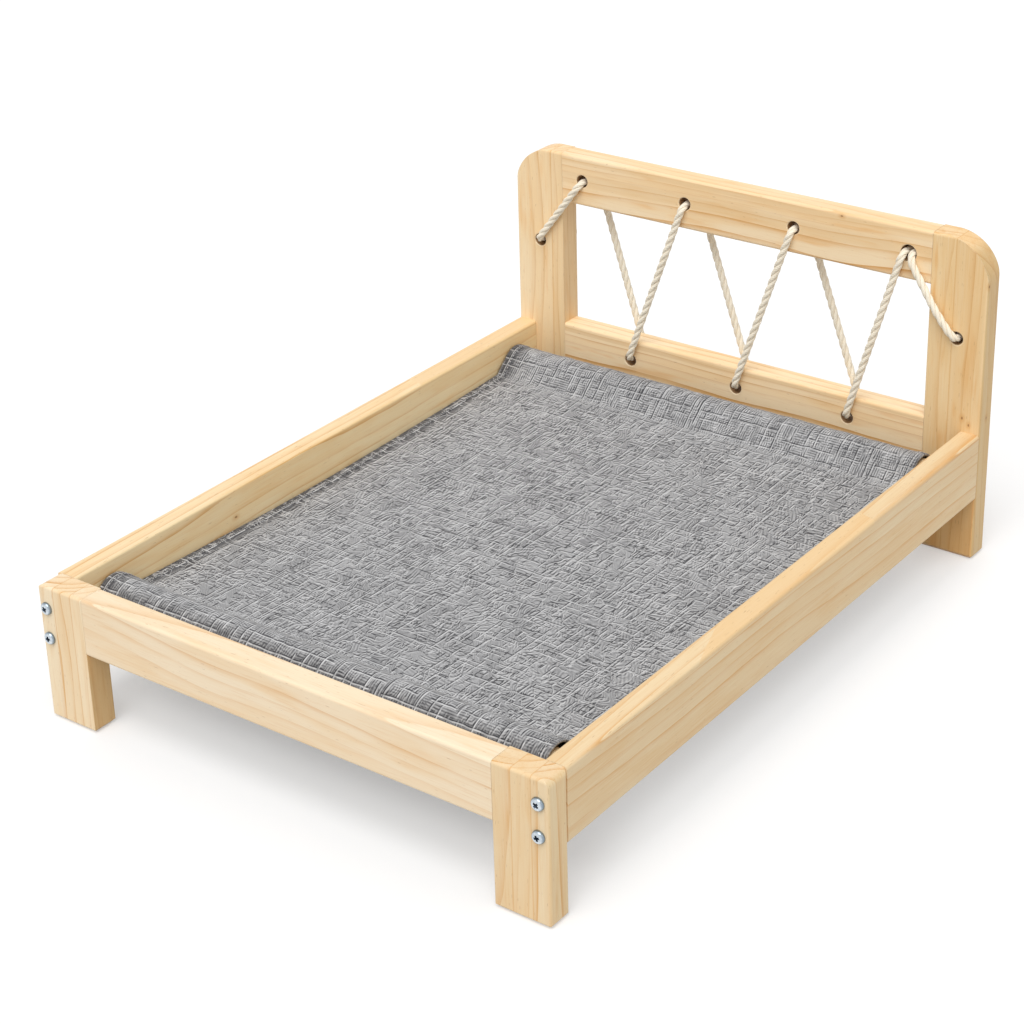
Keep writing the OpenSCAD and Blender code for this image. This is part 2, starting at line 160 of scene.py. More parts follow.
def finish_node(node, material):
    """Gives a frame node its material."""
    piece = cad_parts[node]
    if not piece.material_slots:
        raise RuntimeError(f"{node} has no material slot")
    for slot in piece.material_slots:
        slot.material = material


def finish_mesh(name, built):
    """Turns a built bmesh into a mesh with its normals outward."""
    bmesh.ops.recalc_face_normals(built, faces=built.faces)
    mesh = bpy.data.meshes.new(name)
    built.to_mesh(mesh)
    built.free()
    return mesh


def new_ring(built, centre, right, up, sides):
    """A ring of vertices round a centre, with right and up as its half axes."""
    turns = (TURN * k / sides for k in range(sides))
    return [built.verts.new((centre + right * math.cos(a) + up * math.sin(a)) * MM) for a in turns]


def skin(built, rings):
    """Joins rings of vertices into a closed tube. Returns its side faces, row by row, and its two ends."""
    rows = []
    for a, b in zip(rings, rings[1:]):
        row = []
        for k in range(len(a)):
            n = (k + 1) % len(a)
            face = built.faces.new((a[k], a[n], b[n], b[k]))
            face.smooth = True
            row.append(face)
        rows.append(row)
    return rows, (built.faces.new(list(reversed(rings[0]))), built.faces.new(rings[-1]))


def clear_selection():
    if bpy.context.object and bpy.context.object.mode != "OBJECT":
        bpy.ops.object.mode_set(mode="OBJECT")
    bpy.ops.object.select_all(action="DESELECT")


class Value:
    """A socket in a recipe, so that a recipe's sums can be written plainly."""

    def __init__(self, recipe, socket):
        self.recipe, self.socket = recipe, socket

    def __add__(self, other):
        return self.recipe.math("ADD", self, other)

    def __sub__(self, other):
        return self.recipe.math("SUBTRACT", self, other)

    def __rsub__(self, other):
        return self.recipe.math("SUBTRACT", other, self)

    def __mul__(self, other):
        return self.recipe.math("MULTIPLY", self, other)

    def __truediv__(self, number):
        return self.recipe.math("MULTIPLY", self, 1.0 / number)

    def __abs__(self):
        return self.recipe.math("ABSOLUTE", self)

    __radd__, __rmul__ = __add__, __mul__


class Recipe:
    """The nodes of a material or a world, written as short steps. A step's value may be a number, a colour,
    a socket or another step."""

    def __init__(self, owner):
        owner.use_nodes = True
        self.owner, self.tree = owner, owner.node_tree
        self.tree.nodes.clear()

    def node(self, kind, **traits):
        made = self.tree.nodes.new("ShaderNode" + kind)
        for trait, value in traits.items():
            setattr(made, trait, value)
        return made

    def feed(self, socket, value):
        if isinstance(value, Value):
            value = value.socket
        if isinstance(value, bpy.types.NodeSocket):
            self.tree.links.new(value, socket)
        elif socket.type == "RGBA" and len(value) == 3:
            socket.default_value = (*value, 1.0)
        else:
            socket.default_value = value

    def step(self, kind, *values, output=0, **traits):
        """Adds a node, feeds its inputs in their order, save where a value is None, and returns one output."""
        made = self.node(kind, **traits)
        for socket, value in zip(made.inputs, values):
            if value is not None:
                self.feed(socket, value)
        return Value(self, made.outputs[output])

    def named(self, kind, *traits, output=0, **inputs):
        """Adds a node, feeds its inputs by their names and returns one output. traits are pairs."""
        made = self.node(kind, **dict(traits))
        for name, value in inputs.items():
            self.feed(made.inputs[name.replace("_", " ")], value)
        return Value(self, made.outputs[output])

    def math(self, operation, *values):
        return self.step("Math", *values, operation=operation)

    def most(self, first, *others):
        for other in others:
            first = self.math("MAXIMUM", first, other)
        return first

    def wave(self, angle):
        return self.math("SINE", angle)

    def away(self, vector, centre):
        return self.step("VectorMath", vector, centre, operation="SUBTRACT")

    def dot(self, first, second):
        return self.step("VectorMath", first, second, output=1, operation="DOT_PRODUCT")

    def length(self, vector, shares=(1.0, 1.0, 1.0)):
        """The length of a vector after each of its parts is multiplied by its share."""
        return self.step("VectorMath", self.step("VectorMath", vector, shares, operation="MULTIPLY"), output=1,
                         operation="LENGTH")

    def in_mm(self, vector):
        return self.step("VectorMath", vector, None, None, 1.0 / MM, operation="SCALE")

    def place(self):
        """Where the shaded point lies in the frame, in millimetres."""
        return self.in_mm(self.node("TexCoord").outputs["Object"])

    def join(self, x=0.0, y=0.0, z=0.0):
        return self.step("CombineXYZ", x, y, z)

    def split(self, vector):
        made = self.node("SeparateXYZ")
        self.feed(made.inputs[0], vector)
        return [Value(self, output) for output in made.outputs]

    def noise(self, vector, scale=1.0, detail=2.0, rough=0.5, size="3D", colour=False):
        field = {"W" if size == "1D" else "Vector": vector}
        return self.named("TexNoise", ("noise_dimensions", size), output=1 if colour else 0, Scale=scale,
                          Detail=detail, Roughness=rough, Distortion=0.0, **field)

    def drift(self, vector, **traits):
        """Three even noises round zero."""
        return self.split(self.away(self.noise(vector, detail=1.0, colour=True, **traits), (0.5, 0.5, 0.5)))

    def cells(self, vector, feature="F1", output=0):
        return self.named("TexVoronoi", ("feature", feature), ("voronoi_dimensions", "2D"), output=output,
                          Vector=vector, Scale=1.0, Randomness=1.0)

    def luck(self, number, output="Value"):
        return self.named("TexWhiteNoise", ("noise_dimensions", "1D"), output=output, W=number)

    def ease(self, value, low, high, to_low=0.0, to_high=1.0, smooth=True):
        return self.step("MapRange", value, low, high, to_low, to_high,
                         interpolation_type="SMOOTHSTEP" if smooth else "LINEAR")

    def mix(self, share, first, second, blend="MIX"):
        return self.step("Mix", share, None, None, None, None, None, first, second, output=2, data_type="RGBA",
                         blend_type=blend, clamp_factor=True)

    def over(self, colour, *layers):
        """Lays tints over a colour, each with its share."""
        for share, tint in layers:
            colour = self.mix(share, colour, tint)
        return colour

    def tinted(self, colour, tint, share=1.0):
        return self.mix(share, colour, tint, blend="MULTIPLY")

    def bump(self, height, distance, strength, **normal):
        return self.named("Bump", Strength=strength, Distance=distance, Height=height, **normal)

    def seen(self):
        """1 for the rays that show a thing to the camera, straight or by a mirror or glass, and 0 for light."""
        rays = self.node("LightPath").outputs
        return self.most(*(rays[kind] for kind in ("Is Camera Ray", "Is Glossy Ray", "Is Transmission Ray")))

    def surface(self, colour, roughness, normal, **traits):
        shader = self.named("BsdfPrincipled", Base_Color=colour, Roughness=roughness, Normal=normal, **traits)
        self.feed(self.node("OutputMaterial").inputs["Surface"], shader)
        return self.owner


def new_recipe(name):
    return Recipe(bpy.data.materials.new(name))


# ---------------------------------------------------------------- places that boards, rope and screws share

FRONT_FACE, REAR_FACE = -320.0, 300.0                      # Y of the front of the legs and the back of the headboard
TOP_HOLES, LOWER_HOLES, POST_HOLES = 257.5, 99.5, 194.0    # Z of the rope holes in the rails and posts
POST_X = 205.0                                             # X of the holes in the posts
FIRST_TOP, TOP_PITCH, LOWER_PITCH = -159.0, 106.0, 109.0   # X of the first hole, and from hole to hole
HOLE, LAST_HOLE = 5.5, 7.0                                 # radii; the last hole takes two strands

HOLES_TOP = [(FIRST_TOP + i * TOP_PITCH, TOP_HOLES, LAST_HOLE if i == 3 else HOLE) for i in range(4)]
HOLES_LOWER = [(i * LOWER_PITCH, LOWER_HOLES, HOLE) for i in (-1, 0, 1)]
HOLES_LEFT, HOLES_RIGHT = [(-POST_X, POST_HOLES, HOLE)], [(POST_X, POST_HOLES, HOLE)]


# ---------------------------------------------------------------- pine

WHITE = (1.0, 1.0, 1.0)
# pale colour painted as a highlight on the rounded edges and round the rope holes
PALE_EDGE_HIGHLIGHT = (0.95, 0.80, 0.56)
PALE_STREAK = (0.93, 0.80, 0.60)
ORANGE_CLOUD = (0.79, 0.475, 0.205)
# brown of the wall inside the rope holes, darkened further as painted shade
HOLE_WALL_AND_SHADE = (0.33, 0.16, 0.055)
ACROSS_X = (1.0, 0.0, 0.0)
AXES = {"X": ACROSS_X, "Y": (0.0, 1.0, 0.0), "Z": (0.0, 0.0, 1.0)}
TOP_LAYER = 3.5          # thickness of a side rail's spliced top layer
GRAIN_JUMP = 61.0        # how far the grain jumps from one glued piece to the next
# heights between which the painted shade at the foot of a post fades out
FOOT_SHADE_HEIGHTS = 58.0, 84.0
EDGE_RADIUS = 1.0

# What makes each board its own. Lengths are in millimetres.
#   along    the axis that the grain follows
#   pith     where the pith lies across the board from its middle, and lean how it shifts along the board
#   spacing  from one growth ring to the next, and wander how far the rings stray
#   warmth   the share of warm and orange wood
#   lines    how strong the growth lines are
#   seed     the number that makes the board's noise its own
#   holes    rope holes as (x, z, radius) and knots as (x, y, z, size), in the frame's own places
#   splices  joints in a side rail's top layer as (y, slope), and strips the glue lines of a post
#   bands    warm bands along the board as (height, half width, share)
#   tone     tints the base wood; the side shading paints light and shade on the faces across X, and the foot shade paints shade on the end near the floor
BOARDS = {
    "front_left_leg": dict(
        along="Z", pith=(-31, 42), lean=(0.014, 0.012), spacing=6.4, wander=13, warmth=0.10, seed=3.1,
        strips=(-7.0, 11.0), tone=(1.05, 1.09, 1.15), painted_side_shading=(0.87, 0.72, 0.50)),
    "front_right_leg": dict(
        along="Z", pith=(-30, 39), lean=(-0.012, 0.015), spacing=6.2, wander=12, warmth=0.18, seed=7.7,
        strips=(-7.5, 8.5), tone=(0.97, 0.97, 0.95), painted_side_shading=(0.95, 0.94, 0.88)),
    "front_rail": dict(
        along="X", pith=(33, -58), lean=(0.012, 0.045), spacing=9.5, wander=22, warmth=0.05, seed=12.4,
        lines=0.55, tone=(1.04, 1.08, 1.18)),
    "left_side_rail": dict(
        along="Y", pith=(-64, 44), lean=(0.006, -0.016), spacing=6.6, wander=8, warmth=0.16, seed=18.9,
        splices=((112.5, 0.16),), knots=((-212.0, -127.0, 89.5, 1.0),), tone=(1.05, 1.04, 1.00),
        painted_side_shading=(1.07, 1.10, 1.07)),
    "right_side_rail": dict(
        along="Y", pith=(-62, -46), lean=(0.006, 0.020), spacing=7.2, wander=8, warmth=0.05, seed=23.3,
        splices=((-116.0, 3.0), (107.0, 0.30)), tone=(0.93, 0.90, 0.83), painted_side_shading=(0.97, 0.98, 0.98)),
    "left_head_post": dict(
        along="Z", pith=(-32, 43), lean=(0.020, -0.010), spacing=6.6, wander=20, warmth=0.26, seed=29.2,
        holes=HOLES_LEFT, strips=(13.0,), tone=(1.12, 1.12, 1.10), painted_side_shading=(0.89, 0.86, 0.80)),
    "right_head_post": dict(
        along="Z", pith=(-26, 38), lean=(0.008, 0.012), spacing=6.0, wander=14, warmth=0.50, seed=34.6,
        holes=HOLES_RIGHT, strips=(-4.0,), tone=(1.03, 0.99, 0.88), painted_side_shading=(0.78, 0.77, 0.70),
        painted_foot_shade=(0.96, 0.84, 0.68),
        knots=((214.0, 279.0, 126.0, 0.9), (220.0, 279.0, 121.0, 0.8), (230.0, 290.0, 126.0, 0.9),
               (230.0, 281.0, 243.5, 0.9), (211.0, 279.0, 279.0, 1.0))),
    "head_top_rail": dict(
        along="X", pith=(31, -31), lean=(0.003, -0.012), spacing=5.0, wander=12, warmth=0.42, seed=41.5,
        holes=HOLES_TOP, knots=((98.0, 279.0, 277.0, 0.8),), bands=((3.0, 7.0, 0.45), (19.0, 2.5, 0.35)),
        tone=(1.11, 1.12, 1.14)),
    "head_lower_rail": dict(
        along="X", pith=(36, -33), lean=(0.004, 0.012), spacing=5.6, wander=12, warmth=0.32, seed=47.8,
        holes=HOLES_LOWER, bands=((19.0, 2.5, 0.5),), tone=(1.16, 1.16, 1.17)),
}


def pine(name, box, along, pith, lean, spacing, seed, wander=12, warmth=0.2, lines=1.0, holes=(), knots=(),
         splices=(), strips=(), bands=(), tone=WHITE, painted_side_shading=WHITE, painted_foot_shade=None):
    """Clear-finished pine. Growth rings are cut by the board's faces, so lines and end grain agree."""
    look = settings("pine")
    r = new_recipe(name)
    low, high = box
    place = r.place()
    middle = [(a + b) / 2.0 / MM for a, b in zip(low, high)]
    x, y, z = r.split(r.away(place, middle))
    length, across, up = {"X": (x, y, z), "Y": (y, x, z), "Z": (z, x, y)}[along]

    # glued up boards: the top layer of a rail is spliced along its length, a post is made of strips
    piece = odd = glue = 0.0
    for at, slope in splices:
        top = r.ease(z - ((high[2] - low[2]) / 2.0 / MM - TOP_LAYER), -0.1, 0.1)
        passed = r.ease(length + across * slope + (middle[1] - at), -0.12, 0.12) * top
        piece, odd = piece + passed, abs(odd - passed)
    for at in strips:
        off = across - at
        passed = r.ease(off, -0.12, 0.12)
        piece, odd = piece + passed * 0.7, abs(odd - passed)
        glue = r.most(glue, r.ease(abs(off), 0.25, 0.65, 1.0, 0.0))
    shift = piece * GRAIN_JUMP

    def grain(run, thick, start=0.0):
        """A place in the wood, drawn out along the grain: noise there is run long and thick across."""
        return r.join(length / run + start, across / thick, up / thick)

    # rings round the pith, with the fibres' slow wander and a small wiggle
    drift_a, drift_b, _ = r.drift(grain(260, 150, shift + seed))
    side = across + drift_a * wander + length * lean[0] - pith[0]
    rise = up + drift_b * wander + length * lean[1] - pith[1]
    wiggle = (r.noise(grain(70, 9, shift)) - 0.5) * 1.5
    radius = r.math("SQRT", side * side + rise * rise) + wiggle + shift * 0.37
    count = radius / spacing + r.noise(radius / (spacing * 3.1), detail=0.0, size="1D") * 1.5 + seed
    ring, part = r.math("FLOOR", count), r.math("FRACT", count)
    luck_a, luck_b, luck_c = r.split(r.luck(ring + seed * 3.0, "Color"))
    rising = r.math("POWER", part, r.ease(luck_a, 0.0, 1.0, 3.0, 9.0, smooth=False))
    late = rising * r.ease(part, 0.965, 1.0, 1.0, 0.0) * r.ease(luck_b, 0.0, 1.0, 0.30, 1.15, smooth=False)
    fade = r.noise(r.join(length / 80 + seed, ring * 0.73), detail=1.0)
    late = late * r.ease(fade, 0.28, 0.60, 0.45 * lines, lines)

    # end grain shows the rings stronger
    normal = r.node("NewGeometry").outputs["Normal"]
    end = r.ease(abs(r.dot(normal, AXES[along])), 0.45, 0.95)

    patches = r.noise(grain(110, 17, shift + seed))
    streaks = r.noise(grain(34, 1.3, seed), detail=3.0, rough=0.62)
    clouds = r.noise(grain(55, 7.5, shift + seed * 2.0), rough=0.6)
    dashes = r.noise(grain(6, 0.7, seed), detail=0.0)
    colour = r.over(
        look.early_colour,
        (warmth * 0.5, look.warm_colour),
        (r.ease(patches, 0.42, 0.66, 0.0, 0.35 + 0.6 * warmth), look.warm_colour),
        (r.ease(luck_c, 0.30, 1.0) * (0.20 + 0.6 * warmth), look.warm_colour),
        (r.ease(clouds, 0.54, 0.76, 0.0, min(1.0, 0.15 + 1.2 * warmth)), ORANGE_CLOUD))
    colour = r.over(
        r.tinted(colour, tone),
        (late * r.ease(end, 0.0, 1.0, 1.08, 1.7), look.late_colour),
        (r.ease(streaks, 0.50, 0.80, 0.0, 0.26), look.late_colour),
        (r.ease(streaks, 0.50, 0.22, 0.0, 0.26), PALE_STREAK))
    colour = r.tinted(colour, look.late_colour, end * 0.07)
    if splices or strips:
        colour = r.over(colour, (odd * (0.60 if splices else 0.30), look.warm_colour),
                        (glue * 0.40, look.late_colour))
    for height, half, share in bands:
        off = abs(up + drift_b * wander - height)
        colour = r.mix(r.ease(off, half * 0.55, half, share, 0.0), colour, look.warm_colour)
    # resin dashes
    colour = r.mix(r.ease(dashes, 0.76, 0.84, 0.0, 0.35), colour, look.knot_colour)
    for *at, size in knots:
        out = r.length(r.away(place, at), [0.6 if axis == along else 1.0 for axis in "XYZ"])
        colour = r.over(colour, (r.ease(out, size * 0.9, size * 4.2, 0.40, 0.0), look.late_colour),
                        (r.ease(out, size * 0.35, size * 1.25, 0.85, 0.0), look.knot_colour))
    # bored holes are browner inside, darkened further as painted shade, with a pale rim painted as a highlight
    for hole_x, hole_z, hole in holes:
        out = r.length(r.away(place, (hole_x, 0.0, hole_z)), (1.0, 0.0, 1.0))
        colour = r.over(colour, (r.ease(out, hole + 0.85, hole + 1.10, 0.50, 0.0), PALE_EDGE_HIGHLIGHT),
                        (r.ease(out, hole + 0.05, hole + 0.35, 0.85, 0.0), HOLE_WALL_AND_SHADE))

    # painted light and shade: the faces across X are tinted as light falls on them, darker on most boards and lighter
    # on the left side rail
    painted_side_share = r.ease(abs(r.dot(normal, ACROSS_X)), 0.45, 0.80)
    sides = r.tinted(colour, painted_side_shading)
    # painted shade: the foot of the post below the side rail is darkened and warmed towards the floor
    if painted_foot_shade:
        height = r.split(place)[2]
        colour = r.mix(r.ease(height, *FOOT_SHADE_HEIGHTS, 1.0, 0.0), colour, r.tinted(colour, painted_foot_shade))
    colour = r.mix(painted_side_share, colour, sides)
    # painted highlight: the rounded edges, found by the Bevel node, are painted paler
    rounded = r.node("Bevel", samples=4)
    rounded.inputs["Radius"].default_value = EDGE_RADIUS * MM
    edge_highlight = r.ease(r.dot(rounded.outputs[0], normal), 0.995, 0.93, 0.0, 0.30)
    colour = r.mix(edge_highlight, colour, PALE_EDGE_HIGHLIGHT)

    rough = r.ease(streaks, 0.3, 0.8, -0.05, 0.07, smooth=False) + look.gloss + late * -0.08
    relief = r.bump(streaks * 0.45 + late * 0.35, 0.00010, 0.5, Normal=rounded.outputs[0])
    return r.surface(colour, rough, relief, Specular_IOR_Level=0.35)


class ROPEBED_OT_boards(Operator):
    """Give each board of the frame its own pine grain"""

    bl_idname = "rope_bed.grain_boards"
    bl_label = "Grain the Boards"

    def execute(self, context):
        for node, traits in BOARDS.items():
            finish_node(node, pine("Pine " + node.replace("_", " "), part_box(node), **traits))
        return {"FINISHED"}


ROUND_WOOD = {
    "front_rod": dict(seed=53.0, pith=(9, -6), lean=(0.004, 0.006), spacing=2.6),
    "rear_rod": dict(seed=58.0, pith=(-8, 11), lean=(0.004, 0.006), spacing=2.6),
}
for pins, pins_seed in (("front_rail_pins", 63.0), ("head_top_rail_pins", 66.0), ("head_lower_rail_pins", 69.0)):
    ROUND_WOOD[pins] = dict(seed=pins_seed, pith=(3, 5), lean=(0.0, 0.0), spacing=1.6, tone=(0.93, 0.93, 0.93))


class ROPEBED_OT_rods(Operator):
    """Give the two round rods and the hidden pins their wood"""

    bl_idname = "rope_bed.grain_rods"
    bl_label = "Grain the Rods and Pins"

    def execute(self, context):
        for node, traits in ROUND_WOOD.items():
            finish_node(node, pine("Dowel " + node.replace("_", " "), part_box(node), along="X", **traits))
        return {"FINISHED"}


# ---------------------------------------------------------------- cloth sling

FRONT_ROLL, REAR_ROLL = -264.3, 244.3     # Y of each sleeve's middle
ROLL_HEIGHT = 83.0
SLEEVE_RADIUS = 17.75                     # to the middle of the cloth
SEAM, SEAM_ANGLE = 26.6, 48.0             # a sleeve's seam, from its middle, and where the sleeve leaves for it
FLAP, FLAP_DROP = 12.0, 1.75              # the sewn end of the cloth, under the sheet
CLOTH_SIDES = (-210.5, 198.0)
HEM_RIDGE = 0.62
SLEEVE_STEPS, JOIN_STEPS, SHEET_STEPS, FLAP_STEPS, WIDTH_STEPS = 44, 8, 120, 5, 104
SHEET, SLEEVE, SEWN = 0, 1, 2             # the cloth's parts
STITCH, STITCH_PITCH = 2.1, 3.1
# the rings of one stitch: share of its length, radius and lift off the cloth
STITCH_RINGS = ((0.0, 0.02, -0.10), (0.06, 0.20, 0.02), (0.5, 0.27, 0.14), (0.94, 0.20, 0.02), (1.0, 0.02, -0.10))


def walk(start, stop, pitch):
    """start, start + pitch and so on, as long as they are below stop."""
    while start < stop:
        yield start
        start += pitch


def sling_line():
    """The cloth's path as (y, z, part) points, from the front flap, round the front rod, over the sling
    and round the rear rod. The front half is the rear one mirrored."""
    sag = settings("sling").sag / MM
    start, stop = FRONT_ROLL + SEAM, REAR_ROLL - SEAM
    gap = 0.8

    def level(y):
        t = (y - start) / (stop - start)
        return ROLL_HEIGHT - 4.0 * sag * t * (1.0 - t)

    def between(a, b):
        return [(a[0] + (b[0] - a[0]) * i / JOIN_STEPS, a[1] + (b[1] - a[1]) * i / JOIN_STEPS)
                for i in range(1, JOIN_STEPS)]

    angle = math.radians(SEAM_ANGLE)
    roll = []
    for i in range(SLEEVE_STEPS + 1):
        a = angle + (TURN - 2.0 * angle) * i / SLEEVE_STEPS
        roll.append((REAR_ROLL - SLEEVE_RADIUS * math.cos(a), ROLL_HEIGHT + SLEEVE_RADIUS * math.sin(a)))
    above, below = (stop + gap, ROLL_HEIGHT + 1.0), (stop - 0.2, ROLL_HEIGHT - FLAP_DROP)
    rear = [(y, z, SLEEVE) for y, z in between(above, roll[0]) + roll + between(roll[-1], below)]
    for i in range(FLAP_STEPS + 1):
        y = stop - 1.2 - FLAP * i / FLAP_STEPS
        rear.append((y, level(y) - FLAP_DROP, SEWN))
    run = [start + gap + (stop - start - 2.0 * gap) * i / SHEET_STEPS for i in range(SHEET_STEPS + 1)]
    front = [(start + stop - y, z, part) for y, z, part in reversed(rear)]
    return front + [(y, level(y), SHEET) for y in run] + rear


def side_stations():
    """Where the cloth's cross sections stand along X, with the share of the thickness and of the hem fold there."""
    low, high = CLOTH_SIDES
    hem = settings("sling").hem / MM
    stations = [(low, 0.45, 1.0), (low + 0.25, 0.85, 1.0), (low + 0.8, 1.0, 1.0), (low + hem * 0.5, 1.0, 1.0),
                (low + hem - 0.6, 1.0, 1.0), (low + hem, 1.0, 0.75), (low + hem + 0.5, 1.0, 0.12),
                (low + hem + 1.0, 1.0, 0.0)]
    mirrored = [(high - (x - low), thin, fold) for x, thin, fold in reversed(stations)]
    first, last = stations[-1][0], mirrored[0][0]
    return stations + [(first + (last - first) * i / WIDTH_STEPS, 1.0, 0.0) for i in range(1, WIDTH_STEPS)] + mirrored


def cloth_wave(x, y, part, run):
    """Slight unevenness of hung cloth, outward on the sleeves, in millimetres."""
    if part == SEWN:
        return 0.0
    if part == SLEEVE:
        slow = noise.noise(Vector((x / 34.0, run / 55.0, 3.7)))
        gather = noise.noise(Vector((x / 6.5, run / 60.0, 9.1)))
        return 0.42 + 0.28 * slow + 0.42 * gather
    slow = noise.noise(Vector((x / 95.0, y / 130.0, 1.3)))
    ripple = noise.noise(Vector((x / 16.0, y / 60.0, 5.9)))
    edge = min(abs(y - (FRONT_ROLL + SEAM)), abs(y - (REAR_ROLL - SEAM)))
    return 0.55 * slow + (0.10 + 0.35 * math.exp(-edge / 26.0)) * ripple


def cloth_mesh():
    """The cloth as one closed shell, with its line, the length run at each of the line's points, and its normals."""
    line = sling_line()
    half = settings("sling").thickness / MM / 2.0
    runs = [0.0]
    for a, b in zip(line, line[1:]):
        runs.append(runs[-1] + math.hypot(b[0] - a[0], b[1] - a[1]))
    last = len(line) - 1
    normals = []
    for i in range(len(line)):
        a, b = line[max(i - 1, 0)], line[min(i + 1, last)]
        size = math.hypot(b[0] - a[0], b[1] - a[1])
        normals.append(((a[1] - b[1]) / size, (b[0] - a[0]) / size))

    shell = bmesh.new()
    layer = shell.loops.layers.uv.new("UVMap")
    place, rings = {}, []
    # each cross section runs along the outer side and back along the inner one
    order = [(i, 1) for i in range(len(line))] + [(i, -1) for i in reversed(range(len(line)))]
    for x, thin, fold in side_stations():
        ring = []
        for i, way in order:
            y, z, part = line[i]
            tip = 0.5 if i in (0, last) else 1.0
            ridge = HEM_RIDGE * fold * (0.4 if part == SEWN else 1.0) if way == 1 else 0.0
            reach = cloth_wave(x, y, part, runs[i]) + (way * half * tip + ridge) * thin
            ny, nz = normals[i]
            vertex = shell.verts.new((x * MM, (y + ny * reach) * MM, (z + nz * reach) * MM))
            place[vertex] = (x * MM, runs[i] * MM)
            ring.append(vertex)
        rings.append(ring)
    count = len(order)
    faces = []
    for a, b in zip(rings, rings[1:]):
        for i in range(count):
            n = (i + 1) % count
            faces.append((a[i], b[i], b[n], a[n]))
    for ring in (rings[0], rings[-1]):
        faces += [(ring[i], ring[i + 1], ring[count - 2 - i], ring[count - 1 - i]) for i in range(last)]
    for corners in faces:
        face = shell.faces.new(corners)
        face.smooth = True
        for loop in face.loops:
            loop[layer].uv = place[loop.vert]
    return finish_mesh("Cloth sling", shell), line, runs, normals


def threads(r, along, across, spacing, reach, share, seed):
    """Straight raised threads that come and go: 1 on a thread, 0 beside it."""
    lane = across / spacing
    number = r.math("FLOOR", lane)
    off = r.math("FRACT", lane) - 0.5 - (r.luck(number + seed) - 0.5) * 0.5
    line = r.ease(abs(off), 0.30 / spacing, 0.80 / spacing, 1.0, 0.0)
    shown = r.noise(r.join(number * 3.71, along / reach + seed), detail=0.0, size="2D")
    return line * r.ease(shown, share, share + 0.05)


def weave(r, u, v, sleeves):
    """The weave's raised threads, and the finer height of its small cells and ribs."""
    wu, wv, _ = r.drift(r.join(u / 13, v / 15), size="2D")
    # the small forms are stretched along one diagonal
    bias = v * 0.80 - u * 0.60
    su, sv = u + bias * 0.26, v - bias * 0.35
    place = r.join(su / 13 + wu * 1.6, sv / 13 + wv * 1.6)
    level, turn, third = r.split(r.cells(place, output=1))
    rims = r.ease(r.cells(place, feature="DISTANCE_TO_EDGE"), 0.024, 0.058, 1.0, 0.0)
    bends = r.noise(r.join(su / 14.5, sv / 14.5, 8.0), detail=0.0)
    loops = r.ease(abs(r.math("FRACT", bends * 5.0) - 0.5), 0.018, 0.058, 0.72, 0.0)
    patch = r.noise(r.join(su / 11, sv / 11, 4.0), detail=1.0)
    curls = r.most(rims * r.ease(patch, 0.58, 0.50), loops * r.ease(patch, 0.45, 0.53))
    angle = turn * math.pi
    ribs = r.wave((su * r.math("COSINE", angle) + sv * r.math("SINE", angle) + wu * 4.0) * (TURN / 2.6))
    swirl = r.wave(bends * (TURN * 15.0) + turn * 5.0)
    sheet = r.most(threads(r, v, u + wu * 0.9, 6.9, 16.0, 0.545, 1.7),
                   threads(r, v, u + wu * 1.3, 11.3, 25.0, 0.535, 8.3),
                   threads(r, u, v + wv * 2.4, 8.6, 19.0, 0.475, 4.9) * 0.95,
                   curls * 0.82)
    fine = level * 0.74 + swirl * 0.15 + ribs * r.ease(third, 0.35, 0.6) * 0.19

    # the sleeves show their threads as a plaid
    plaid = r.most(threads(r, v, u + wu * 1.2, 9.5, 34.0, 0.42, 2.3),
                   threads(r, u, v + wv * 1.6, 9.0, 24.0, 0.44, 6.1),
                   threads(r, v, u + wu * 1.2, 3.3, 12.0, 0.56, 5.3) * 0.45,
                   curls * r.ease(patch, 0.50, 0.60) * 0.6)
    which = r.ease(r.noise(r.join(u / 10, v / 14, 5.0), detail=1.0), 0.46, 0.54)
    rows = r.wave(u * (TURN / 2.1)) * which + r.wave(v * (TURN / 2.1)) * (1.0 - which)
    rolled = level * 0.45 + rows * 0.16 + swirl * 0.16
    flat = 1.0 - sleeves
    return sheet * flat + plaid * sleeves, fine * flat + rolled * sleeves


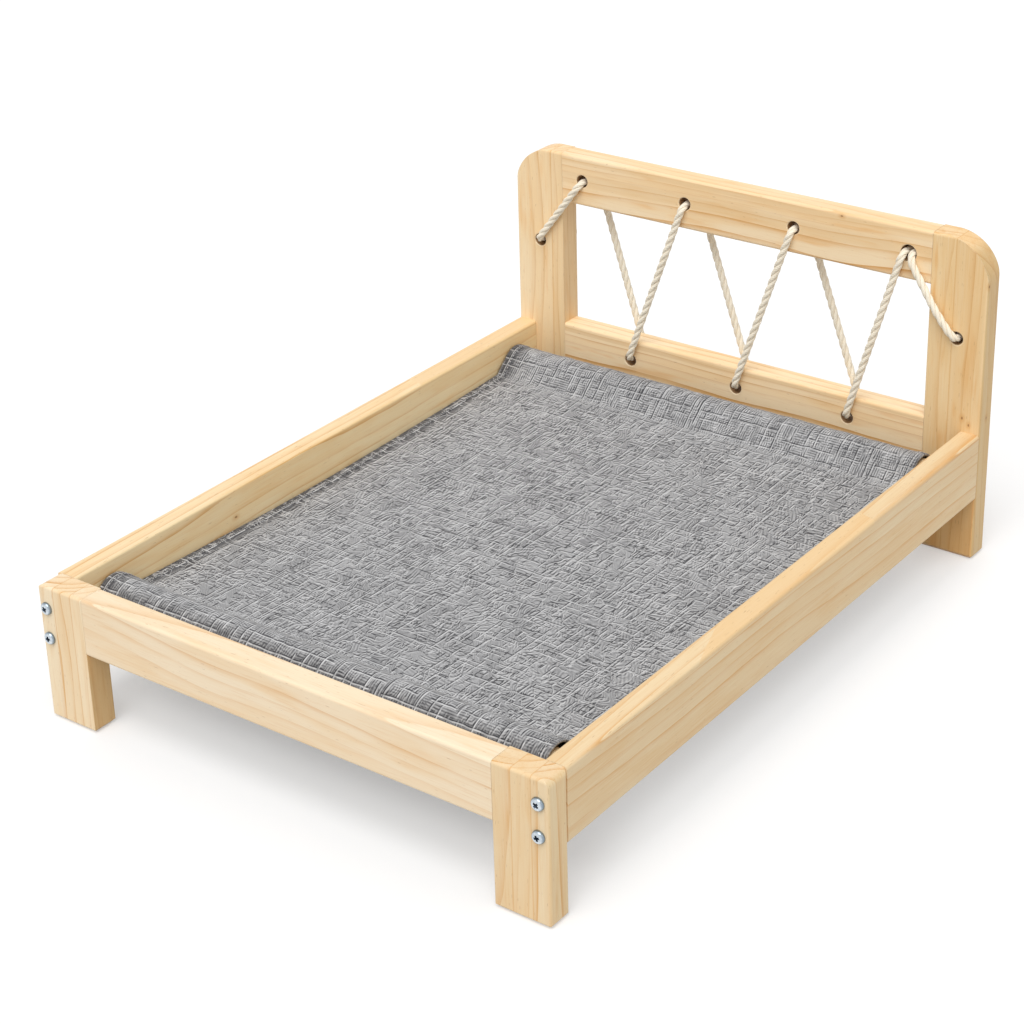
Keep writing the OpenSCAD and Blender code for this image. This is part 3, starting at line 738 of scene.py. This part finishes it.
def cloth_material(length):
    look = settings("sling")
    r = new_recipe("Slub cloth")
    u, v, _ = r.split(r.in_mm(r.node("UVMap", uv_map="UVMap").outputs[0]))
    rear = length - 142.0, length - 134.0
    sleeves = r.most(r.ease(v, 102.0, 114.0, 1.0, 0.0), r.ease(v, *rear))
    raised, fine = weave(r, u, v, sleeves)
    # the weave moved by about a millimetre: its difference from the weave paints light on one side of each raised form
    # and shade on the other
    raised_shadow_copy, fine_shade_copy = weave(r, u + 0.95, v - 0.85, sleeves)
    grain = r.noise(r.join(u / 1.3, v / 1.3), detail=1.0)
    slow = r.noise(r.join(u / 42, v / 42))
    blotch = r.noise(r.join(u / 7, v / 12, 6.0), detail=1.0)
    glint = r.noise(r.join(u / 8, v / 8, 11.0), detail=1.0)
    # painted light and shade: the difference of the weave and its moved copy lightens and darkens the cloth, with the
    # cloth's own mottling
    relief = ((fine - fine_shade_copy) * 1.18 + (fine - 0.40) * 0.36 + (grain - 0.5) * 0.65 + (slow - 0.5) * 0.30
              + (blotch - 0.5) * sleeves + 0.055)
    # painted shadow: dark gaps beside the raised threads, drawn from the moved copy, and a few real dark gaps between
    # the other threads
    gaps_and_shadows = r.most(threads(r, v, u + 2.0, 5.1, 11.0, 0.595, 12.1), threads(r, u, v, 5.7, 11.0, 0.575, 15.7))
    gaps_and_shadows = r.most(raised_shadow_copy, gaps_and_shadows * (1.0 - sleeves) * 0.90)
    # the cloth is darker in the turned hems, where it lies double, and has painted shade beside the left rail, on the
    # left of the sleeves and low on the front and rear rolls
    low, high = CLOTH_SIDES
    hem = look.hem / MM
    hems_and_painted_shade = r.most(r.ease(u, low + hem - 0.5, low + hem + 8.0, 0.80, 0.0),
                   r.ease(u, high - hem - 0.5, high - hem + 0.5, 0.0, 0.30),
                   r.ease(v, 80.0, 100.0, 0.80, 0.0),
                   r.ease(v, length - 96.0, length - 74.0, 0.0, 0.50),
                   r.ease(u, low + 9.0, low + 19.0, 0.55, 0.0) * sleeves)
    colour = r.over(
        look.cloth_colour,
        (r.ease(relief, 0.0, 1.0, smooth=False), look.light_thread_and_painted_light_colour),
        (r.ease(relief, 0.0, -0.8, smooth=False), look.dark_thread_and_painted_shade_colour),
        (hems_and_painted_shade, look.dark_thread_and_painted_shade_colour),
        (gaps_and_shadows * (1.0 - raised) * r.ease(glint, 0.36, 0.60, 1.20, 0.86), look.dark_thread_and_painted_shade_colour),
        (raised * r.ease(v, *rear, 0.64, 0.44) * r.ease(glint, 0.38, 0.66, 0.80, 1.60)
         * r.ease(raised_shadow_copy, 0.3, 0.9, 1.0, 0.45), look.light_thread_and_painted_light_colour))
    return r.surface(colour, 0.88, r.bump(raised + fine * 0.7, 0.00030, 0.7), Sheen_Weight=0.10,
                     Sheen_Roughness=0.5, Specular_IOR_Level=0.20)


def thread_material():
    r = new_recipe("Sewing thread")
    place = r.place()
    x, y, z = r.split(place)
    twist = r.wave((x + y + z) * (TURN / 0.45))
    colour = r.mix(r.ease(r.noise(place, scale=1.2), 0.3, 0.7), (0.46, 0.46, 0.465), (0.70, 0.70, 0.70))
    return r.surface(colour, 0.7, r.bump(twist, 0.00004, 0.5))


def stitches(line, runs, normals):
    """The stitches along both hems and both sleeve seams, each as two points on the cloth with their normals."""
    half, hem = settings("sling").thickness / MM / 2.0, settings("sling").hem / MM
    low, high = CLOTH_SIDES

    def at(run, x, fold):
        """A point on top of the cloth, and its normal."""
        i = bisect_right(runs, run) - 1
        t = (run - runs[i]) / (runs[i + 1] - runs[i])
        a, b = line[i], line[i + 1]
        y, z = a[0] + (b[0] - a[0]) * t, a[1] + (b[1] - a[1]) * t
        normal = Vector((0.0, *normals[i])).lerp(Vector((0.0, *normals[i + 1])), t).normalized()
        lift = cloth_wave(x, y, (a if t < 0.5 else b)[2], run) + half + HEM_RIDGE * fold
        return Vector((x, y, z)) + normal * lift, normal

    rows = []
    # hems: two rows each, from flap to flap
    for x in (low + hem - 1.2, low + hem - 2.9, high - hem + 1.2, high - hem + 2.9):
        for run in walk(16.0, runs[-1] - 18.0, STITCH_PITCH):
            rows.append((at(run, x, 1.0), at(run + STITCH, x, 1.0)))
    # sleeve seams: two rows each across the width
    sheet = [run for run, point in zip(runs, line) if point[2] == SHEET]
    for seam, way in ((sheet[0], 1.0), (sheet[-1], -1.0)):
        for offset in (2.2, 4.2):
            run = seam + way * offset
            for x in walk(low + 1.6, high - 3.4, STITCH_PITCH):
                fold = 1.0 if (x < low + hem or x > high - hem) else 0.0
                rows.append((at(run, x, fold), at(run, x + STITCH, fold)))
    return rows


def thread_mesh(rows):
    """Each stitch as a short six-sided thread that rises out of the cloth and dips back into it."""
    built = bmesh.new()
    for (start, up_a), (stop, up_b) in rows:
        across = (stop - start).normalized().cross(up_a).normalized()
        rings = []
        for share, size, lift in STITCH_RINGS:
            up = up_a.lerp(up_b, share).normalized()
            rings.append(new_ring(built, start.lerp(stop, share) + up * lift, across * size, up * size * 0.8, 6))
        skin(built, rings)
    return finish_mesh("Sling stitches", built)


class ROPEBED_OT_sling(Operator):
    """Sew the cloth sling with its sleeves, hems and stitches"""

    bl_idname = "rope_bed.sew_sling"
    bl_label = "Sew the Sling"

    def execute(self, context):
        mesh, line, runs, normals = cloth_mesh()
        cloth = new_piece("sling_cloth", mesh, ("hammock_cloth",))
        cloth.data.materials.append(cloth_material(runs[-1]))
        thread = new_piece("sling_stitches", thread_mesh(stitches(line, runs, normals)))
        thread.data.materials.append(thread_material())
        round(runs[-1] * MM, 3)
        return {"FINISHED"}


# ---------------------------------------------------------------- rope

ROPE = 6.5
STRAND = 0.59                                             # radius of a strand as a share of the rope's
FRONT_RUN, MIDDLE_RUN, BACK_RUN = 275.5, 289.5, 303.5     # Y of the rope's middle line
SLACK = 1.7                                               # the taut rope pulls to the edge of its hole
ARRIVING, LEAVING = 155.5, 162.5                          # X of the two strands in the last hole


def in_ropes(*points):
    """Points given in diameters of the rope, in millimetres."""
    return [tuple(ROPE * c for c in p) for p in points]


def smooth_line(points, steps=9):
    """A uniform cubic B-spline that starts and ends on the first and last point."""
    points = [Vector(p) for p in points]
    points = [points[0] * 2 - points[1]] + points + [points[-1] * 2 - points[-2]]
    made = []
    for a, b, c, d in zip(points, points[1:], points[2:], points[3:]):
        for k in range(steps):
            t = k / steps
            made.append((a * (1 - t) ** 3 + b * (3 * t ** 3 - 6 * t ** 2 + 4)
                         + c * (-3 * t ** 3 + 3 * t ** 2 + 3 * t + 1) + d * t ** 3) / 6)
    made.append(points[-2].copy())
    return made


def rounded_line(points, radius=6.0, steps=10):
    """Straight runs with round corners."""
    points = [Vector(p) for p in points]
    made = [points[0]]
    for before, corner, after in zip(points, points[1:], points[2:]):
        u, w = (before - corner).normalized(), (after - corner).normalized()
        half = u.angle(w) / 2
        cut = radius / math.tan(half)
        middle = corner + (u + w).normalized() * (radius / math.sin(half))
        a, b = corner + u * cut - middle, corner + w * cut - middle
        sweep = a.angle(b)
        for k in range(steps + 1):
            t = k / steps
            made.append(middle + (a * math.sin((1 - t) * sweep) + b * math.sin(t * sweep)) / math.sin(sweep))
    made.append(points[-1])
    return made


def lacing_line():
    """In at the left post, then up and down through the rails to the last hole of the top rail."""
    points = [(-POST_X, MIDDLE_RUN, POST_HOLES), (-POST_X, FRONT_RUN, POST_HOLES + SLACK)]
    for i in range(3):
        top, low = FIRST_TOP + i * TOP_PITCH, (i - 1) * LOWER_PITCH
        points += [(top, FRONT_RUN, TOP_HOLES - SLACK), (top, BACK_RUN, TOP_HOLES - SLACK),
                   (low, BACK_RUN, LOWER_HOLES + SLACK), (low, FRONT_RUN, LOWER_HOLES + SLACK)]
    points += [(ARRIVING, FRONT_RUN, TOP_HOLES), (ARRIVING, MIDDLE_RUN, TOP_HOLES)]
    return rounded_line(points)


def turns_line():
    """Two turns behind the last hole of the top rail."""
    points = [(-7.0, -10.5, 0.0), (-7.0, -5.2, 0.0), (-7.0, -1.3, 0.0)]
    for a in range(30, 571, 30):
        turn = math.radians(a)
        points += in_ropes((-1.2 * math.cos(turn), 0.5 + 1.11 * a / 360.0, -1.2 * math.sin(turn)))
    points += in_ropes((0.7, 2.46, 1.2), (0.23, 2.8, 1.43), (0, 3.28, 1.15), (0, 3.43, 0.43), (0, 3.08, -0.12),
                       (0, 2.4, -0.08), (0, 1.6, 0), (0, 0.8, 0), (0, -0.2, 0), (0, -0.8, 0))
    points.append((0.0, -10.5, 0.0))
    return smooth_line([(LEAVING + x, REAR_FACE + y, TOP_HOLES + z) for x, y, z in points])


def tail_line():
    """The slack end from the last hole down to the right post."""
    points = [(LEAVING, y, z) for y, z in ((289.5, 257.5), (285.6, 257.5), (281.7, 257.5), (277.5, 256.5))]
    for across, down, out in ((0.035, 0.09, 0.7), (0.15, 0.205, 1.0), (0.32, 0.37, 1.5), (0.48, 0.535, 2.0),
                              (0.65, 0.7, 2.0), (0.81, 0.84, 1.5), (0.94, 0.945, 1.0)):
        points.append((LEAVING + across * (POST_X - LEAVING), FRONT_RUN - out,
                       TOP_HOLES - down * (TOP_HOLES - POST_HOLES)))
    points += [(204.8, 277.5, 194.3), (205.0, 281.7, 194.0), (205.0, 285.6, 194.0), (205.0, 289.5, 194.0)]
    return smooth_line(points)


def knot_line(side):
    """A stopper knot behind a post: side -1 is the left post, 1 the right one. Both are tied alike."""
    points = [(0.0, -10.5, 0.0)]
    points += in_ropes((0, -0.8, 0), (0, 0, 0), (0, 0.77, 0), (0, 1.54, 0), (0, 2.23, -0.23), (-0.46, 2.62, -0.77),
                       (-1.23, 2.58, -0.92), (-1.69, 2.43, -0.31), (-1.46, 2.31, 0.46))
    for a in range(0, 481, 30):
        turn = math.radians(150 - a)
        points += in_ropes((0.55 + 1.77 * math.cos(turn), 2.28 - 1.09 * a / 360.0, 1.77 * math.sin(turn)))
    points += in_ropes((2.34, 0.68, 0.08), (2.31, 0.6, -0.62), (1.92, 0.56, -1.15), (1.31, 0.56, -1.15),
                       (1.05, 0.93, -0.69), (1.08, 1.54, -0.23), (1.11, 2.15, 0), (1.11, 2.77, 0), (1.11, 3.54, 0))
    return smooth_line([(side * POST_X - x, REAR_FACE + y, POST_HOLES + z) for x, y, z in points])


def even_line(points, step=0.85):
    """The same line with points at even steps of its length."""
    runs = [0.0]
    for a, b in zip(points, points[1:]):
        runs.append(runs[-1] + (b - a).length)
    count = max(2, round(runs[-1] / step))
    made, i = [], 0
    for k in range(count + 1):
        run = runs[-1] * k / count
        while i < len(runs) - 2 and runs[i + 1] < run:
            i += 1
        gap = runs[i + 1] - runs[i]
        made.append(points[i].lerp(points[i + 1], (run - runs[i]) / gap if gap else 0.0))
    return made


def strand_tubes(name, line, state, sides=9):
    """Three strands laid round a line. state is the run and the upward direction that the line begins with,
    and it comes back as it is at the line's end, where the next stretch goes on."""
    lay = settings("rope").lay / MM
    radius = settings("rope").diameter / MM / 2.0
    strand = radius * STRAND
    run, up = state
    built = bmesh.new()
    layer = built.loops.layers.uv.new("UVMap")
    last = len(line) - 1
    ways = [(line[min(i + 1, last)] - line[max(i - 1, 0)]).normalized() for i in range(last + 1)]
    ups, runs = [], []
    for i, way in enumerate(ways):
        if i:
            run += (line[i] - line[i - 1]).length
            up = ways[i - 1].rotation_difference(way) @ up
        up = (up - way * up.dot(way)).normalized()
        ups.append(up.copy())
        runs.append(run)
    for j in range(3):
        middle = []
        for i, way in enumerate(ways):
            phase = TURN * (runs[i] / lay + j / 3)
            out = ups[i] * math.cos(phase) + way.cross(ups[i]) * math.sin(phase)
            middle.append((line[i] + out * (radius - strand), out))
        rings = []
        for i, (centre, out) in enumerate(middle):
            way = (middle[min(i + 1, last)][0] - middle[max(i - 1, 0)][0]).normalized()
            out = (out - way * out.dot(way)).normalized()
            size = strand * (0.82 if i in (0, last) else 1.0)
            rings.append(new_ring(built, centre, out * size, way.cross(out) * size, sides))
        rows, ends = skin(built, rings)
        for i, row in enumerate(rows):
            for k, face in enumerate(row):
                for loop, (share, at) in zip(face.loops, ((k, i), (k + 1, i), (k + 1, i + 1), (k, i + 1))):
                    loop[layer].uv = (share / sides, runs[at] * MM)
        for face, at in zip(ends, (runs[0], runs[-1])):
            for loop in face.loops:
                loop[layer].uv = (0.0, at * MM)
    return finish_mesh(name, built), (run, up)


def rope_material():
    look = settings("rope")
    r = new_recipe("Cotton rope")
    around, run, _ = r.split(r.node("UVMap", uv_map="UVMap").outputs[0])
    run = run / MM
    yarns = r.wave(around * (TURN * 7.0) + run * (-TURN / 5.5))
    fuzz = r.noise(r.place(), scale=1.1, detail=3.0, rough=0.65)
    slow = r.noise(r.join(run / 40, 2.0), detail=1.0)
    # painted shade: the sides of each strand that turn towards the others, and the hollows between its yarns, are
    # darkened with the groove colour
    groove_shade = r.ease(r.math("COSINE", around * TURN), 0.55, -0.35)
    colour = r.over(look.rope_colour, (r.ease(fuzz, 0.35, 0.70), (0.97, 0.905, 0.780)),
                    (r.ease(slow, 0.40, 0.65, 0.0, 0.25), (0.87, 0.765, 0.590)),
                    (r.ease(yarns, -0.2, -1.0, 0.0, 0.16), look.groove_shade_colour),
                    (groove_shade * 0.62, look.groove_shade_colour))
    return r.surface(colour, 0.86, r.bump(yarns * 0.5 + fuzz * 0.8, 0.00022, 0.8), Sheen_Weight=0.12,
                     Specular_IOR_Level=0.25)


class ROPEBED_OT_rope(Operator):
    """Lay the three-strand rope through the headboard, with its turns, slack end and two knots"""

    bl_idname = "rope_bed.lace_rope"
    bl_label = "Lace the Rope"

    def execute(self, context):
        parts = (("left_knot_strands", list(reversed(knot_line(-1))), "left_rope_knot"),
                 ("lacing_strands", lacing_line(), "lacing_rope"),
                 ("turns_strands", turns_line(), "rope_turns"),
                 ("tail_strands", tail_line(), "rope_tail"),
                 ("right_knot_strands", knot_line(1), "right_rope_knot"))
        material = rope_material()
        state = (0.0, Vector((0.3, 0.2, 1.0)))
        for name, line, node in parts:
            mesh, state = strand_tubes(name, even_line(line), state)
            piece = new_piece(name, mesh, (node,))
            piece.data.materials.append(material)
        return {"FINISHED"}


# ---------------------------------------------------------------- screws

SCREW_X, SCREW_HEIGHTS = 222.0, (95.5, 70.5)
SHANK, SHANK_LENGTH, SHANK_TIP = 5.0, 40.0, 8.0
RECESS_LONG, RECESS_WIDE, RECESS_DEPTH = 6.2, 2.05, 2.0
SPINS = (31, 8, 52, 20, 66, 3, 41, 74)       # how far each screw happens to be turned, in degrees


def zinc_material():
    r = new_recipe("Zinc plated steel")
    place = r.place()
    cloud = r.noise(place, scale=0.55, detail=3.0)
    colour = r.mix(r.ease(cloud, 0.35, 0.7), settings("screws").zinc_colour, (0.70, 0.75, 0.79))
    # painted shade: each head is painted darker in a ring round its rim than on its crown
    x, _, z = r.split(place)
    for middle in SCREW_HEIGHTS:
        out = r.length(r.join(abs(x) - SCREW_X, 0.0, z - middle))
        colour = r.mix(r.ease(out, 3.6, 4.9) * r.ease(out, 6.0, 5.9) * 0.80, colour, (0.17, 0.22, 0.27))
    rough = r.ease(r.noise(place, scale=4.0), 0.3, 0.7, 0.20, 0.36)
    return r.surface(colour, rough, r.bump(cloud, 0.00003, 0.4), Metallic=1.0)


# painted shade: the faces inside the cross recess get a near-black zinc, as the shade of the recess
def recess_shade_material():
    r = new_recipe("Screw recess shade")
    cloud = r.noise(r.place(), scale=1.2)
    colour = r.mix(r.ease(cloud, 0.3, 0.7), settings("screws").recess_shade_colour, (0.10, 0.12, 0.155))
    return r.surface(colour, 0.42, r.bump(cloud, 0.00003, 0.4), Metallic=0.8)


def pick(piece, kind, test):
    """Selects the edges or faces that pass a test, of the object that is being edited."""
    bpy.ops.mesh.select_mode(type=kind)
    bpy.ops.mesh.select_all(action="DESELECT")
    edit = bmesh.from_edit_mesh(piece.data)
    for part in edit.edges if kind == "EDGE" else edit.faces:
        part.select = test(part)
    bmesh.update_edit_mesh(piece.data)


def looks_down(face):
    return face.normal.z < -0.9


def combine(piece, operation, other):
    """Joins another object to this one or cuts it away, and removes it."""
    clear_selection()
    piece.select_set(True)
    bpy.context.view_layer.objects.active = piece
    change = piece.modifiers.new("Combine", "BOOLEAN")
    change.operation, change.solver, change.object = operation, "EXACT", other
    bpy.ops.object.modifier_apply(modifier=change.name)
    bpy.data.objects.remove(other)


def model_screw():
    """One pan head screw, standing on its head's seat at the origin with its head towards +Z."""
    look = settings("screws")
    head, rise = look.head / 2, look.rise
    clear_selection()
    bpy.ops.mesh.primitive_cylinder_add(vertices=look.rounds, radius=head, depth=rise, location=(0, 0, rise / 2))
    screw = bpy.context.object
    bpy.ops.object.mode_set(mode="EDIT")
    pick(screw, "EDGE", lambda edge: all(v.co.z > rise / 2 * 0.9 for v in edge.verts))
    bpy.ops.mesh.bevel(offset=rise * 0.78, offset_type="OFFSET", segments=7, profile=0.5, affect="EDGES")
    # the shank grows out of the flat seat and ends in a point
    pick(screw, "FACE", looks_down)
    bpy.ops.mesh.inset(thickness=head - SHANK / 2 * MM)
    for deep in (SHANK_LENGTH - SHANK_TIP, SHANK_TIP - 0.1):
        bpy.ops.mesh.extrude_region_move(TRANSFORM_OT_translate={"value": (0, 0, -deep * MM)})
    bpy.ops.transform.resize(value=(0.08, 0.08, 1.0))
    bpy.ops.object.mode_set(mode="OBJECT")
    bpy.ops.object.transform_apply(location=True, rotation=True, scale=True)

    # the cross recess is cut by two tapered bars
    bars = []
    for size, taper in (((RECESS_LONG, RECESS_WIDE), (0.42, 0.7)), ((RECESS_WIDE, RECESS_LONG), (0.7, 0.42))):
        clear_selection()
        bpy.ops.mesh.primitive_cube_add(size=1.0, location=(0, 0, rise))
        bar = bpy.context.object
        bar.scale = Vector((*size, RECESS_DEPTH * 2)) * MM
        bpy.ops.object.transform_apply(location=True, rotation=True, scale=True)
        bpy.ops.object.mode_set(mode="EDIT")
        pick(bar, "FACE", looks_down)
        bpy.ops.transform.resize(value=(*taper, 1.0))
        bpy.ops.object.mode_set(mode="OBJECT")
        bars.append(bar)
    combine(bars[0], "UNION", bars[1])
    combine(screw, "DIFFERENCE", bars[0])
    bpy.ops.object.shade_smooth_by_angle(angle=math.radians(38))

    screw.data.materials.clear()
    screw.data.materials.append(zinc_material())
    screw.data.materials.append(recess_shade_material())
    floor = rise - RECESS_DEPTH * MM
    # the faces inside the recess take the painted shade material
    for face in screw.data.polygons:
        c = face.center
        inside = floor - 0.1 * MM < c.z < rise - 0.02 * MM and math.hypot(c.x, c.y) < RECESS_LONG / 2 * MM
        steep = face.normal.z < 0.6 or c.z < floor + 0.1 * MM
        face.material_index = 1 if inside and steep and face.area > 0 else 0
    return screw


class ROPEBED_OT_screws(Operator):
    """Model one pan head screw and set the four pairs into the legs and posts"""

    bl_idname = "rope_bed.drive_screws"
    bl_label = "Drive the Screws"

    def execute(self, context):
        screw = model_screw()
        pattern = screw.data.copy()
        bpy.data.objects.remove(screw)
        spins = iter(SPINS)
        pairs = (("front_left_screws", -SCREW_X, FRONT_FACE, 1), ("front_right_screws", SCREW_X, FRONT_FACE, 1),
                 ("rear_left_screws", -SCREW_X, REAR_FACE, -1), ("rear_right_screws", SCREW_X, REAR_FACE, -1))
        for node, x, y, way in pairs:
            built = bmesh.new()
            for z in SCREW_HEIGHTS:
                copy = pattern.copy()
                spin = Matrix.Rotation(math.radians(next(spins)), 4, "Z")
                lay = Matrix.Rotation(math.radians(90 * way), 4, "X")
                copy.transform(Matrix.Translation(Vector((x, y, z)) * MM) @ lay @ spin)
                built.from_mesh(copy)
                bpy.data.meshes.remove(copy)
            mesh = bpy.data.meshes.new(node + "_zinc")
            built.to_mesh(mesh)
            built.free()
            for material in pattern.materials:
                mesh.materials.append(material)
            new_piece(node + "_zinc", mesh, (node,))
        bpy.data.meshes.remove(pattern)
        return {"FINISHED"}


# ---------------------------------------------------------------- stage

CAMERA_PLACE = (972.068, -1329.062, 957.478)
CAMERA_ANGLES = (37.0506, -24.7981, -1.6120)               # yaw, pitch and roll in degrees
CAMERA_LENS, CAMERA_SENSOR, CAMERA_SHIFT = 83.70, 36.0, -0.109375
# the places of the lamps and the sizes of the floor and the fill lamp are in metres
KEY_PLACE, KEY_ANGLE = (0.40, -1.30, 2.45), 42.0
FILL_PLACE, FILL_SIZE = (2.4, -0.5, 1.5), 2.0
LAMPS_AIM = (0.0, 0.0, 0.1)
FLOOR_SIZE = 24.0
SHADOW_GREY, FLOOR_LIFT = 0.62, 0.37


def floor_material(colour):
    """The floor lights the bed in its own colour, and the camera sees it nearly white with a soft shadow."""
    r = new_recipe("Pale floor")
    speck = r.noise(r.node("TexCoord").outputs["Object"], scale=30.0)
    plain = r.named("BsdfDiffuse", Color=r.mix(r.ease(speck, 0.3, 0.7), colour, [c * 0.985 for c in colour]))
    shadow = r.named("BsdfDiffuse", Color=(SHADOW_GREY, SHADOW_GREY, SHADOW_GREY))
    lift = r.named("Emission", Color=WHITE, Strength=FLOOR_LIFT)
    shown = r.step("AddShader", shadow, lift)
    r.feed(r.node("OutputMaterial").inputs["Surface"], r.step("MixShader", r.seen(), plain, shown))
    return r.owner


class ROPEBED_OT_stage(Operator):
    """Set the pale floor, the soft lamps, the sky and the camera"""

    bl_idname = "rope_bed.set_stage"
    bl_label = "Set the Stage"

    def execute(self, context):
        look = settings("stage")
        scene = context.scene
        scene.view_settings.view_transform = "Standard"
        clear_selection()
        bpy.ops.mesh.primitive_plane_add(size=FLOOR_SIZE, location=(0.0, 0.0, 0.0))
        floor = context.object
        floor.name = "studio_floor"
        floor.data.materials.append(floor_material(tuple(look.floor_colour)))

        sky = Recipe(bpy.data.worlds.new("Studio sky"))
        scene.world = sky.owner
        strength = sky.ease(sky.seen(), 0.0, 1.0, look.sky, 1.0, smooth=False)
        sky.feed(sky.node("OutputWorld").inputs["Surface"], sky.named("Background", Color=WHITE, Strength=strength))

        key = bpy.data.lights.new("Key", "SUN")
        key.energy, key.angle = look.key, math.radians(KEY_ANGLE)
        fill = bpy.data.lights.new("Fill", "AREA")
        fill.shape, fill.size, fill.energy = "DISK", FILL_SIZE, look.fill
        for lamp, place in ((key, KEY_PLACE), (fill, FILL_PLACE)):
            stand = bpy.data.objects.new(lamp.name, lamp)
            scene.collection.objects.link(stand)
            stand.location = place
            stand.rotation_euler = (Vector(LAMPS_AIM) - Vector(place)).to_track_quat("-Z", "Y").to_euler()

        lens = bpy.data.cameras.new("Camera")
        lens.sensor_fit, lens.sensor_width, lens.lens = "HORIZONTAL", CAMERA_SENSOR, CAMERA_LENS
        lens.shift_x, lens.shift_y = 0.0, CAMERA_SHIFT
        lens.clip_start, lens.clip_end = 0.05, 60.0
        camera = bpy.data.objects.new("Camera", lens)
        scene.collection.objects.link(camera)
        yaw, pitch, roll = (math.radians(a) for a in CAMERA_ANGLES)
        ahead = Vector((-math.sin(yaw) * math.cos(pitch), math.cos(yaw) * math.cos(pitch), math.sin(pitch)))
        right = Vector((math.cos(yaw), math.sin(yaw), 0.0))
        up = right.cross(ahead)
        right, up = (right * math.cos(roll) + up * math.sin(roll), up * math.cos(roll) - right * math.sin(roll))
        turn = Matrix((right, up, -ahead)).transposed().to_4x4()
        camera.matrix_world = Matrix.Translation(Vector(CAMERA_PLACE) * MM) @ turn
        scene.camera = camera
        return {"FINISHED"}


# ---------------------------------------------------------------- panel and registration

class ROPEBED_PT_panel(Panel):
    bl_idname = "ROPEBED_PT_panel"
    bl_label = "Rope Bed"
    bl_space_type = "VIEW_3D"
    bl_region_type = "UI"
    bl_category = "Rope Bed"

    def draw(self, context):
        for name, title, group, operators in SECTIONS:
            box = self.layout.box()
            box.label(text=title)
            for field in group.__annotations__:
                box.prop(getattr(context.scene, "rope_bed_" + name), field)
            for operator in operators:
                box.operator(operator)


SECTIONS = (
    ("pine", "Pine", PineSettings, ("rope_bed.grain_boards", "rope_bed.grain_rods")),
    ("sling", "Sling", SlingSettings, ("rope_bed.sew_sling",)),
    ("rope", "Rope", RopeSettings, ("rope_bed.lace_rope",)),
    ("screws", "Screws", ScrewSettings, ("rope_bed.drive_screws",)),
    ("stage", "Stage", StageSettings, ("rope_bed.set_stage",)),
)

CLASSES = (ROPEBED_OT_boards, ROPEBED_OT_rods, ROPEBED_OT_sling, ROPEBED_OT_rope, ROPEBED_OT_screws,
           ROPEBED_OT_stage, ROPEBED_PT_panel)


def register():
    for name, _, group, _ in SECTIONS:
        bpy.utils.register_class(group)
        setattr(bpy.types.Scene, "rope_bed_" + name, PointerProperty(type=group))
    for entry in CLASSES:
        bpy.utils.register_class(entry)


def unregister():
    for entry in reversed(CLASSES):
        bpy.utils.unregister_class(entry)
    for name, _, group, _ in reversed(SECTIONS):
        delattr(bpy.types.Scene, "rope_bed_" + name)
        bpy.utils.unregister_class(group)


def main():
    register()
    bpy.ops.rope_bed.set_stage()
    bpy.ops.rope_bed.grain_boards()
    bpy.ops.rope_bed.grain_rods()
    bpy.ops.rope_bed.sew_sling()
    bpy.ops.rope_bed.lace_rope()
    bpy.ops.rope_bed.drive_screws()
    bpy.context.view_layer.update()


if __name__ == "__main__":
    main()
